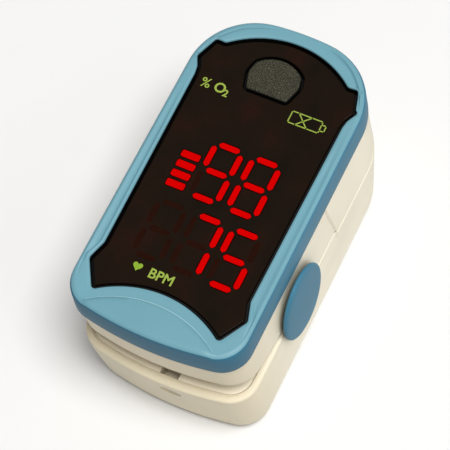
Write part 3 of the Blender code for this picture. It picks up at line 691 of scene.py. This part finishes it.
def make_bezel():
    """Blue frame round the window, with its bead, hollows, ridge and thumb recess."""
    window = window_outline()
    starts = np.column_stack([np.zeros(len(window)), np.clip(window[:, 1], -15.0, 13.0)])
    aims = unit(window - starts)

    def cast(half_width, end, extra=0.0):
        outline = plan(half_width, -end, end, extra)
        return starts + aims * reach_to(outline, starts, aims)[:, None]

    lowered = SLOPE_DROP * smoothstep(window[:, 1], SLOPE_START_Y, SLOPE_END_Y)
    rings = [at_height(offset(window, distance), z) for distance, z in (
        (-0.9, SHELF_Z), (-0.9, WINDOW_SEAT_Z), (0.25, WINDOW_SEAT_Z), (0.25, 33.6))]
    rings += [at_height(offset(window, distance), z - lowered) for distance, z in (
        (0.25, 34.05), (0.28, 34.20), (0.36, 34.31), (BEAD_OUT, 34.365))]
    bead = offset(window, BEAD_OUT)
    ridge = cast(RIDGE_HALF, RIDGE_END, 0.5)
    crease, length = crease_stations(bead, ridge)
    steps = [crease * share for share in (0.35, 0.7, 1.0)]
    crease_strip = len(rings) + len(steps) - 1
    steps += [crease + extra for extra in (0.08, 0.17, 0.28, CREASE_WIDTH)]
    rest = length - crease - CREASE_WIDTH
    steps += [crease + CREASE_WIDTH + rest * share for share in (0.2, 0.4, 0.6, 0.8, 1.0)]
    for distance in steps:
        place = bead + (ridge - bead) * (distance / length)[:, None]
        rings.append(at_height(place, top_surface(place, distance - crease, length - crease)))
    edge = [(15.02, 28.92, 0.3, 34.27), (15.2, 29.1, 0.2, 34.1), (15.31, 29.21, 0.1, 33.88),
            (15.37, 29.27, 0.0, 33.6), (15.40, 29.30, 0.0, 33.2), (15.45, 29.35, 0.0, 31.6),
            (15.54, 29.44, 0.0, 29.05), (15.48, 29.38, 0.0, BEZEL_BASE_Z)]
    for half_width, end, extra, z in edge:
        place = cast(half_width, end, extra)
        level = top_surface(place, -np.ones(len(place)), length)
        share = (z - BEZEL_BASE_Z) / (BEZEL_CREST_Z - BEZEL_BASE_Z)
        rings.append(at_height(place, BEZEL_BASE_Z + (level - BEZEL_BASE_Z) * share))
    cavity = cast(14.1, 28.0, -1.4)
    rings += [at_height(cavity, BEZEL_BASE_Z), at_height(cavity, SHELF_Z)]
    piece = finish_mesh("bezel", loft(rings, closed=True), BLUE, "upper_half",
                        ["bezel_frame"], 32)
    for material in (GROOVE_SHADE, SHADED_BLUE, HIGHLIGHT_BLUE):
        piece.data.materials.append(material)
    skirt_strip = len(rings) - len(edge) - 2
    for polygon in piece.data.polygons:
        strip = polygon.index // len(window)
        x, y, _ = polygon.center / MM
        # The window seat and the wall round the window are painted black, as shade in the groove.
        if 1 <= strip < 4:
            polygon.material_index = 1
        # The skirt is painted shade, a darker blue.
        elif strip > skirt_strip:
            polygon.material_index = 2
        # A band along the thumb recess's upper edge is a painted highlight, a lighter blue.
        elif crease_strip <= strip < crease_strip + 3 and y < THUMB_NEAR_Y and abs(x) < THUMB_TIP:
            polygon.material_index = 3


def make_bezel_bosses():
    """Four screw bosses under the bezel."""
    for number, (x, y) in enumerate(((-11.8, 18.0), (-11.8, -20.5), (11.8, 18.0), (11.8, -20.5)), 1):
        rings = [at_height(disc((x, y), radius, 24), z)
                 for radius, z in ((1.6, 31.45), (1.6, 25.1), (1.4, 24.9), (0.95, 24.9), (0.95, 29.0))]
        finish_mesh(f"bezel_boss_{number}", loft(rings, caps=True), BLUE, "upper_half")


# ---------------------------------------------------------------- window, button and display

def make_window():
    """Dark panel with a bevelled edge and a hole for the button; its flange and sides are painted black,
    as shade in the groove.
    """
    outline = window_outline()
    rings = [at_height(offset(outline, distance), z) for distance, z in (
        (0.0, FLANGE_LOW_Z), (0.0, 33.1), (-0.30, 33.14), (-0.31, 33.84), (-0.36, 33.93),
        (-0.46, WINDOW_TOP_Z))]
    hole = offset(button_outline(), 0.05)
    hole_rings = [at_height(hole, FLANGE_LOW_Z), at_height(hole, WINDOW_TOP_Z - 0.1),
                  at_height(offset(hole, 0.1), WINDOW_TOP_Z)]
    piece = finish_mesh("window", pierced(rings, hole_rings), PANEL, "upper_half",
                        ["display_window"], 25)
    paint_below(piece, GROOVE_SHADE, 33.8)


def make_button():
    """Power button: soft-edged cap on a wider flange below the window."""
    outline = button_outline()
    levels = [(0.8, 31.72), (0.8, 32.38), (-0.5, 32.38), (-0.5, 33.9), (-0.54, 34.06),
              (-0.62, 34.16), (-0.76, 34.22)]
    mesh = loft([at_height(offset(outline, distance), z) for distance, z in levels], caps=True)
    piece = finish_mesh("button", mesh, speckled_button(), "power_button",
                        ["power_button"], 22)
    # The flange and sides are painted black, as shade in the gap round the button.
    paint_below(piece, GROOVE_SHADE, 33.5)


DIGIT_HALF_WIDTH = 2.32
DIGIT_HALF_HEIGHT = 4.85
DIGIT_GAP = 0.52
OXYGEN_Y = 0.55
PULSE_Y = -12.0
BAR_WIDTH = 0.98
BAR_POINT = 0.38
HALO = 0.2
SIGNAL_X = -7.05
SIGNAL_TOP_Y = 1.75
SIGNAL_PITCH = 1.84
GLOW_LOW_Z = 33.985
UNLIT_TOP_Z = 34.008
HALO_TOP_Z = 34.012
LIT_TOP_Z = 34.03
INK_LOW_Z = 33.99
INK_TOP_Z = 34.025
INK_STROKE = 0.19
LETTER_Z = 34.012
LETTER_DEPTH = 0.012
LIT = {"9": "abcdfg", "8": "abcdefg", "7": "abc", "5": "acdfg"}


def bar_outline(start, end, width):
    """Bar between two ends, with its tips narrowed to rounded points."""
    start, end = np.array(start, float), np.array(end, float)
    along = unit(end - start)
    across = np.array([-along[1], along[0]]) * width / 2
    corners = []
    for tip, sign in ((start, -1), (end, 1)):
        reach = tip + along * sign * width * 0.10
        shoulder = tip - along * sign * BAR_POINT
        corners += [(*(shoulder - across * sign), 0.34), (*reach, 0.26),
                    (*(shoulder + across * sign), 0.34)]
    return rounded(corners)


def segment(letter, centre, grow=0.0):
    """One bar of a seven-segment digit; the letters run clockwise from the top, then the middle."""
    w, h, gap = DIGIT_HALF_WIDTH, DIGIT_HALF_HEIGHT, DIGIT_GAP
    ends = {
        "a": ((-w + gap, h), (w - gap, h)), "g": ((-w + gap, 0.0), (w - gap, 0.0)),
        "d": ((-w + gap, -h), (w - gap, -h)), "b": ((w, gap), (w, h - gap)),
        "c": ((w, -h + gap), (w, -gap)), "f": ((-w, gap), (-w, h - gap)),
        "e": ((-w, -h + gap), (-w, -gap)),
    }[letter]
    start, end = (np.array(p) + centre for p in ends)
    return bar_outline(start, end, BAR_WIDTH + 2 * grow)


def signal_bar(number, half, radius):
    """One bar of the signal graph, counted from the top."""
    middle = np.array([SIGNAL_X, SIGNAL_TOP_Y - SIGNAL_PITCH * number])
    return rounded([(*(middle + (sx * half[0], sy * half[1])), radius)
                    for sx, sy in ((1, 1), (-1, 1), (-1, -1), (1, -1))])


def raised(name, outlines, low, high, material):
    """Thin flat pieces on the window, as one mesh."""
    bm = bmesh.new()
    for outline in outlines:
        part = loft([at_height(outline, low), at_height(outline, high)], caps=True)
        bm.from_mesh(part)
    mesh = bpy.data.meshes.new(name)
    bm.to_mesh(mesh)
    bm.free()
    finish_mesh(name, mesh, material, "upper_half")


def make_display():
    """Lit bars and digits, and faint unlit segments, seen in the window."""
    red = glowing("lit_red", (0.68, 0.0, 0.0), (0.02, 0.0, 0.0))
    # The halos are a painted glow: the lit segments' light spread round them.
    halo = glowing("red_halo", (0.012, 0.0, 0.0), (0.003, 0.001, 0.001))
    # Unlit segments get a faint painted glow.
    unlit = glowing("unlit_segment", (0.0045, 0.0003, 0.0), (0.011, 0.004, 0.0025))
    places = {
        "oxygen": (("9", (-1.87, OXYGEN_Y)), ("8", (4.78, OXYGEN_Y))),
        "pulse": (("7", (0.80, PULSE_Y)), ("5", (7.32, PULSE_Y))),
    }
    halos, ghosts = [], []
    for name, digits in places.items():
        lit = []
        for digit, centre in digits:
            for letter in "abcdefg":
                if letter in LIT[digit]:
                    lit.append(segment(letter, centre))
                    halos.append(segment(letter, centre, HALO))
                else:
                    ghosts.append(segment(letter, centre))
        raised(f"{name}_digits", lit, INK_LOW_Z, LIT_TOP_Z, red)
    bars = [signal_bar(number, (1.62, 0.60), 0.3) for number in range(4)]
    halos += [signal_bar(number, (1.78, 0.76), 0.4) for number in range(4)]
    raised("signal_bars", bars, INK_LOW_Z, LIT_TOP_Z, red)
    ghosts += [segment(letter, (-5.72, PULSE_Y)) for letter in "abcdefg"]
    # Painted glow round the lit segments.
    raised("segment_halos", halos, GLOW_LOW_Z, HALO_TOP_Z, halo)
    # Unlit segments with a faint painted glow.
    raised("unlit_segments", ghosts, GLOW_LOW_Z, UNLIT_TOP_Z, unlit)


def heart_outline(centre, size):
    angles = round_angles(40)
    x = 16 * np.sin(angles) ** 3
    y = 13 * np.cos(angles) - 5 * np.cos(2 * angles) - 2 * np.cos(3 * angles) - np.cos(4 * angles)
    outline = np.column_stack([x, y])[::-1] * size / 34
    return outline + centre


def stroke(start, end):
    start, end = np.array(start, float), np.array(end, float)
    along = unit(end - start)
    across = np.array([-along[1], along[0]]) * INK_STROKE / 2
    start, end = start - along * INK_STROKE / 2, end + along * INK_STROKE / 2
    return np.array([start + across, start - across, end - across, end + across])


def lettering(name, text, place, size, material, bold=0.02):
    """Generic unit mark printed on the window."""
    curve = bpy.data.curves.new(name, "FONT")
    curve.body = text
    curve.size = size * MM
    curve.extrude = LETTER_DEPTH * MM
    curve.offset = bold * MM
    curve.resolution_u = 3
    guide = linked(name + "_guide", curve)
    guide.location = Vector((*place, LETTER_Z)) * MM
    mesh = evaluated_mesh(guide)
    mesh.transform(guide.matrix_world)
    bpy.data.objects.remove(guide)
    mesh.materials.clear()
    finish_mesh(name, mesh, material, "upper_half")


def make_prints():
    """Unit marks, a heart and an empty-battery sign, in yellow-green ink."""
    yellow = ink("yellow_green_ink", (0.27, 0.36, 0.052))
    green = ink("green_ink", (0.21, 0.34, 0.022))
    lettering("percent_mark", "%", (-11.6, 13.95), 2.5, yellow)
    lettering("oxygen_mark", "O", (-9.2, 13.95), 2.5, yellow, 0.05)
    lettering("oxygen_count", "2", (-7.35, 13.6), 1.75, yellow, 0.045)
    lettering("beats_mark", "BPM", (-4.0, -19.85), 2.35, yellow, 0.045)
    heart = heart_outline((-6.1, -18.85), 1.75)
    raised("heart_sign", [heart], INK_LOW_Z, INK_TOP_Z, green)
    left, right, low, high = 4.6, 9.95, 13.35, 15.5
    nub_x, nub_low, nub_high = 10.75, 13.85, 14.95
    case = [((left, low), (right, low)), ((left, high), (right, high)),
            ((left, low), (left, high)), ((right, low), (right, high))]
    nub = [((right, nub_low), (nub_x, nub_low)), ((right, nub_high), (nub_x, nub_high)),
           ((nub_x, nub_low), (nub_x, nub_high))]
    cross = [((5.75, high), (7.9, low)), ((8.05, high), (5.9, low))]
    raised("battery_sign", [stroke(a, b) for a, b in case + nub + cross], INK_LOW_Z, INK_TOP_Z, yellow)


# ---------------------------------------------------------------- casing walls

def stepped(points, heights, share=1.0):
    """Plan points moved inwards on the pinch side of the slanted step."""
    slope = (STEP_LOW[0] - STEP_TOP[0]) / (STEP_LOW[1] - STEP_TOP[1])
    line_y = STEP_TOP[0] + (heights - STEP_TOP[1]) * slope
    inset = STEP_DEPTH * (1.0 - smoothstep(points[:, 1] - line_y, -0.1, 0.1)) * share
    across = np.clip(points[:, 0] / 10.0, -1.0, 1.0)
    moved = points.copy()
    moved[:, 0] -= across * inset
    return moved


def finger_arch():
    """Cutter for the finger opening through the end wall."""
    return linked("cutter", loft(chamber_rings([(22.0, MOUTH), (36.0, MOUTH)]), caps=True))


def make_upper_shell():
    """Cream side walls of the upper half, rising from the V gap to the blue bezel."""
    top = plan(15.42, -29.35, 29.35)
    low = plan(15.95, -28.3, 29.9)
    floor = SEAM_Z + np.maximum(0.0, PIVOT[1] - low[:, 1]) * GAPE_SLOPE

    def ring(heights, inset):
        share = ((heights - SEAM_Z) / (SHELL_TOP_Z - SEAM_Z))[:, None]
        place = low + (top - low) * share
        wall = stepped(place, heights) if inset < 1.0 else place
        return at_height(offset(wall, -inset), heights)

    rings = [ring(floor + lift, inset)
             for lift, inset in ((0.0, 0.34), (0.03, 0.2), (0.1, 0.08), (0.22, 0.01))]
    for share in np.linspace(0.04, 0.96, 14):
        rings.append(ring(floor + (SHELL_TOP_Z - floor) * share, 0.0))
    ceiling = np.full(len(floor), SHELL_TOP_Z)
    rings += [ring(ceiling - drop, inset)
              for drop, inset in ((0.2, 0.01), (0.08, 0.07), (0.02, 0.18), (0.0, 0.3))]
    rings += [ring(ceiling, WALL), ring(floor, WALL)]
    mesh = carved(loft(rings, closed=True), [finger_arch()])
    finish_mesh("upper_casing", mesh, CREAM, "upper_half", ["upper_shell"], 32)


BASE_ROUND = 2.8                         # height of the rounded lowest edge
BASE_LOSS = 2.2                          # how far that edge draws in at the base
TRAY_FLOOR_Z = 1.4
INNER_LIP = 0.26                         # the wall is thicker by this beside the inner cover


def lower_plan(z, inset=0.0):
    """Plan of the lower half at a height; its lowest edge is rounded."""
    lost = 0.0
    if z < BASE_ROUND:
        lost = BASE_LOSS * (1.0 - math.sqrt(1.0 - (1.0 - z / BASE_ROUND) ** 2))
    rise = z - BASE_ROUND
    total = lost + inset
    return plan(15.6 + 0.0292 * rise - total, -28.7 - 0.0949 * rise + total,
                29.4 + 0.0438 * rise - total, -total * 0.85)


def make_lower_shell():
    """Cream tray with a rounded rim, a flat base, a door opening and a lanyard hole."""
    def ring(z, inset):
        outline = lower_plan(max(z, 0.0), inset)
        heights = np.full(len(outline), z)
        share = float(smoothstep(z, 11.5, 15.6))
        return at_height(stepped(outline, np.full(len(outline), RIM_Z), share), heights)

    inside = ((BASE_ROUND, WALL + 0.6, TRAY_FLOOR_Z), (BASE_ROUND, WALL, TRAY_FLOOR_Z + 0.7),
              (13.6, WALL, 13.6), (14.0, WALL + INNER_LIP, 14.0), (16.0, WALL + INNER_LIP, 16.2),
              (16.0, WALL + 0.02, 16.22), (RIM_Z, WALL, RIM_Z - 0.1))
    rings = [at_height(lower_plan(plan_z, inset), z) for plan_z, inset, z in inside]
    rings += [ring(RIM_Z - drop, inset) for drop, inset in (
        (0.0, 1.1), (0.0, 0.62), (0.03, 0.4), (0.1, 0.22), (0.22, 0.09), (0.38, 0.015), (0.6, 0.0))]
    rings += [ring(z, 0.0) for z in (15.2, 14.2, 13.0, 11.5, 9.5, 7.5, 5.5, 3.9, 2.8, 2.2, 1.65,
                                     1.15, 0.75, 0.42, 0.18, 0.05, 0.0)]
    door = prism(stadium((0.0, 6.0), (10.9, 30.0), 0.8), -2.0, 1.65)
    angles = round_angles(48)
    hole_rings = [np.column_stack([1.9 + (1.65 + grow) * np.cos(angles), np.full(48, y),
                                   12.7 + (0.95 + grow) * np.sin(angles)])
                  for y, grow in ((-32.0, 0.75), (-29.35, 0.3), (-29.1, 0.05), (-26.0, 0.0))]
    lanyard_hole = linked("cutter", loft(hole_rings, caps=True))
    mesh = carved(loft(rings, caps=True), [door, finger_arch(), lanyard_hole])
    finish_mesh("lower_casing", mesh, CREAM, "lower_half", ["lower_shell"], 32)


def make_lanyard_channel():
    """Short duct behind the lanyard hole, open to the slot above it."""
    outer = stadium((LANYARD_X, -27.5), (2.3, 1.35), 0.3, 4)
    inner = stadium((LANYARD_X, -27.5), (1.7, 0.85), 0.25, 4)
    rings = [at_height(outer, 11.2), at_height(outer, 14.7),
             at_height(inner, 14.7), at_height(inner, 13.4)]
    finish_mesh("lanyard_channel", loft(rings, caps=True), INNER_CREAM, "lower_half")


CAP_Y = -8.7
CAP_Z = 18.9
CAP_HALF_Y = 6.4
CAP_HALF_Z = 9.2
CAP_TILT = math.radians(5.5)


def make_hinge_caps():
    """Oval blue caps with a bevelled edge and a slightly domed face."""
    angles = round_angles(RING_STEPS)
    levels = [(16.0, 0.4), (16.14, 0.1), (16.3, 0.0), (16.55, 0.0), (16.70, 0.07), (16.81, 0.22),
              (16.88, 0.42), (16.94, 0.8), (16.99, 1.4), (17.04, 2.4), (17.08, 3.6), (17.1, 4.9)]
    for side, name in ((1, "right"), (-1, "left")):
        rings = []
        for x, inset in levels:
            y = (CAP_HALF_Y - inset) * np.cos(angles)
            z = (CAP_HALF_Z - inset * 1.25) * np.sin(angles)
            rings.append(np.column_stack([np.full(RING_STEPS, side * x),
                                          CAP_Y + y * math.cos(CAP_TILT) - z * math.sin(CAP_TILT),
                                          CAP_Z + y * math.sin(CAP_TILT) + z * math.cos(CAP_TILT)]))
        # The caps take the darker blue of painted shade.
        finish_mesh(f"hinge_cover_{name}", loft(rings, caps=True), SHADED_BLUE, "lower_half",
                    [f"hinge_cap_{name}"], 30)


PAD_BEND_Y = 15.0                        # beyond this the pads follow the end wall's bulge
PAD_BEND_LENGTH = 14.6
PAD_LIP_Y = 29.6
RIB_PITCH = 2.6
RIB_HALF = 0.5
RIB_HEIGHT = 0.18


def make_pads():
    """Dark silicone half-cups of the finger chamber, with rounded lips and grip ribs."""
    outline = plan(16.0, -30.0, 29.85)
    far = outline[outline[:, 1] > 10.0]
    far = far[np.argsort(far[:, 0])]
    profile = [(-3.2, 1.0), (-3.1, 1.25), (-2.8, PAD), (12.0, PAD), (26.0, PAD), (29.2, PAD),
               (29.48, 1.28), (PAD_LIP_Y, 1.0), (PAD_LIP_Y, 0.5), (29.5, 0.2), (29.2, 0.03)]
    ribs = []
    for y in np.arange(27.4, 2.0, -RIB_PITCH):
        ribs += [(y + RIB_HALF, 0.0), (y + RIB_HALF / 2, -0.13), (y, -RIB_HEIGHT),
                 (y - RIB_HALF / 2, -0.13), (y - RIB_HALF, 0.0)]
    profile += ribs + [(0.0, 0.0), (-1.3, 0.03), (-1.8, -0.5)]
    for name, node, body, low, high in (
            ("lower_cushion", "lower_pad", "lower_half", 16.5, 60.0),
            ("upper_cushion", "upper_pad", "upper_half", -20.0, 17.3)):
        rings = []
        for ring in chamber_rings(profile):
            limit = np.interp(ring[:, 0], far[:, 0], far[:, 1]) - 0.25
            beyond = ring[:, 1] - PAD_BEND_Y
            bent = PAD_BEND_Y + beyond * (limit - PAD_BEND_Y) / PAD_BEND_LENGTH
            ring[:, 1] = np.where(beyond > 0.0, bent, ring[:, 1])
            rings.append(ring)
        light_hole = prism(disc((0.0, 14.0), 1.8, 32), 8.0, 30.0)
        away = prism(stadium((0.0, 10.0), (30.0, 40.0), 1.0), low, high)
        mesh = carved(loft(rings, caps=True), [away, light_hole])
        piece = finish_mesh(name, mesh, RUBBER, body, [node], 35)


# ---------------------------------------------------------------- springs and cable

WIRE_STEPS = 10
COIL_STEPS = 28                          # points in one turn of a coil


def tube(points, radius):
    """Round wire along points, its rings turned with the path."""
    points = np.array(points, float)
    tangents = unit(np.gradient(points, axis=0))
    normal = unit(np.cross(tangents[0], (0.3, 0.2, 0.9)))
    angles = round_angles(WIRE_STEPS)[:, None]
    rings = []
    for point, tangent in zip(points, tangents):
        normal = unit(normal - tangent * (normal @ tangent))
        side = np.cross(tangent, normal)
        rings.append(point + radius * (np.cos(angles) * normal + np.sin(angles) * side))
    return loft(rings, caps=True)


def make_torsion_springs():
    """Coils round the axle, with legs that press the pinch ends apart."""
    radius, pitch, turns, start_x = 2.2, 0.85, 4.5, 4.2
    steps = np.arange(int(turns * COIL_STEPS) + 1)
    angles = -math.pi / 2 - math.tau * steps / COIL_STEPS
    coil = np.column_stack([start_x + pitch * steps / COIL_STEPS, PIVOT[1] + radius * np.cos(angles),
                            PIVOT[2] + radius * np.sin(angles)])
    end_x = coil[-1, 0]
    for side, name in ((1, "right"), (-1, "left")):
        low_leg = [(start_x, -16.2, 17.15), (start_x, -14.0, 17.1), (start_x, -12.6, 16.7),
                   (start_x, -11.0, 15.75), (start_x, -9.4, 15.15)]
        high_leg = [(end_x, -9.6, 19.55), (end_x, -11.0, 19.95), (end_x, -13.6, 20.8),
                    (end_x, -16.4, 21.6)]
        path = np.concatenate([low_leg, coil, high_leg]) * (side, 1, 1)
        piece = finish_mesh(f"press_spring_{name}", tube(path, 0.35), STEEL, None,
                            [f"torsion_spring_{name}"], 60)
        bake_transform(piece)


def make_flex_cable():
    """Flat film cable from the main board down into the lower half."""
    half_width, half_thickness = 2.0, 0.1
    route = np.array([(-14.9, 26.6), (-13.8, 26.5), (-13.4, 25.6), (-13.4, 21.0), (-13.2, 18.0),
                      (-12.7, 15.0), (-12.6, 12.8)])
    lengths = np.concatenate([[0.0], np.cumsum(np.linalg.norm(np.diff(route, axis=0), axis=1))])
    places = np.linspace(0.0, lengths[-1], 40)
    y = np.interp(places, lengths, route[:, 0])
    z = np.interp(places, lengths, route[:, 1])
    across = unit(np.column_stack([-np.gradient(z), np.gradient(y)])) * half_thickness
    rings = []
    for i in range(len(places)):
        front = (y[i] + across[i, 0], z[i] + across[i, 1])
        back = (y[i] - across[i, 0], z[i] - across[i, 1])
        rings.append(np.array([(-half_width, *front), (half_width, *front),
                               (half_width, *back), (-half_width, *back)]))
    piece = finish_mesh("film_cable", loft(rings, caps=True), polyimide(), None,
                        ["flex_cable"], 50)
    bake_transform(piece)


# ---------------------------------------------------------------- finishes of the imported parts

def dress_nodes():
    """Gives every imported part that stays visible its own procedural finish."""
    board = green_board()
    resin = chip_resin("black_resin", (0.020, 0.020, 0.022))
    screen = chip_resin("display_resin", (0.030, 0.028, 0.027))
    lens = lens_resin()
    middle = (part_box("battery_right")[0].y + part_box("battery_right")[1].y) / 2 / MM
    finishes = {
        "lower_inner_cover": INNER_CREAM, "upper_inner_cover": INNER_CREAM, "battery_cover": CREAM,
        "battery_right": battery_jacket("right_cell_jacket", 1, middle),
        "battery_left": battery_jacket("left_cell_jacket", -1, middle),
        "contact_plate_negative": NICKEL, "contact_plate_positive": NICKEL, "contact_bridge": NICKEL,
        "battery_spring_near": NICKEL, "battery_spring_far": NICKEL, "battery_board": board,
        "main_pcb": board, "photodiode": lens, "emitter_led": lens, "pivot_axle": STEEL,
        "led_display": screen, "tact_switch": resin, "controller_chip": resin,
    }
    for name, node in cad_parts.items():
        if node.hide_render:
            continue
        finish = STEEL if "screw" in name else finishes[name]
        node.data.materials.clear()
        node.data.materials.append(finish)


# ---------------------------------------------------------------- stage, lights, camera

def make_stage():
    """Pale floor and a faint even surround."""
    half = 1.5                           # metres
    mesh = bpy.data.meshes.new("floor")
    mesh.from_pydata([(-half, -half, 0), (half, -half, 0), (half, half, 0), (-half, half, 0)], [],
                     [(0, 1, 2, 3)])
    floor = linked("floor", mesh)
    paint = Finish("pale_floor", specular=0.0)
    cloud = paint.noise(60.0, 2.0)
    body = paint.ramp(cloud, (0.3, (0.735, 0.73, 0.72)), (0.7, (0.755, 0.75, 0.74)))
    mesh.materials.append(paint.wire(Base_Color=body, Roughness=paint.spread(cloud, 0.85, 0.95)))
    world = bpy.data.worlds.new("studio")
    world.use_nodes = True
    background = world.node_tree.nodes["Background"]
    background.inputs["Color"].default_value = (1.0, 1.0, 1.0, 1.0)
    background.inputs["Strength"].default_value = 0.25
    bpy.context.scene.world = world


LIGHT_AIM = (0.0, 0.0, 0.02)


def area_light(name, place, size, energy):
    """Round soft light at a place in metres, aimed at the middle of the object."""
    light = bpy.data.lights.new(name, "AREA")
    light.shape = "DISK"
    light.size = size
    light.energy = energy
    lamp = linked(name, light)
    lamp.location = place
    lamp.rotation_mode = "QUATERNION"
    lamp.rotation_quaternion = (Vector(LIGHT_AIM) - Vector(place)).to_track_quat("-Z", "Y")


def make_lights():
    area_light("key", (0.38, -0.10, 1.26), size=0.60, energy=18.6)
    area_light("side", (0.83, -0.115, 0.79), size=0.60, energy=1.2)


CAMERA_AZIMUTH = 38.5
CAMERA_ELEVATION = 64.03
CAMERA_ROLL = -13.8
CAMERA_DISTANCE = 0.2823
CAMERA_TARGET = Vector((0.00336, -0.00704, 0.0339))
CAMERA_LENS = 144.0


def make_camera():
    """Camera at the reference angle: from the pinch end and the right, high up, and rolled."""
    data = bpy.data.cameras.new("camera")
    data.sensor_width = 36.0
    data.lens = CAMERA_LENS
    data.clip_start = 0.01
    camera = linked("camera", data)
    azimuth, elevation = math.radians(CAMERA_AZIMUTH), math.radians(CAMERA_ELEVATION)
    back = Vector((math.sin(azimuth) * math.cos(elevation), -math.cos(azimuth) * math.cos(elevation),
                   math.sin(elevation)))
    level = (-back).to_track_quat("-Z", "Y").to_matrix()
    rolled = level @ Matrix.Rotation(math.radians(CAMERA_ROLL), 3, "Z")
    camera.rotation_mode = "QUATERNION"
    camera.rotation_quaternion = rolled.to_quaternion()
    camera.location = CAMERA_TARGET + back * CAMERA_DISTANCE
    bpy.context.scene.camera = camera
    bpy.context.scene.view_settings.view_transform = "Standard"


def main():
    make_bezel()
    make_bezel_bosses()
    make_window()
    make_button()
    make_display()
    make_prints()
    make_upper_shell()
    make_lower_shell()
    make_lanyard_channel()
    make_hinge_caps()
    make_pads()
    make_torsion_springs()
    make_flex_cable()
    dress_nodes()
    make_stage()
    make_lights()
    make_camera()


main()
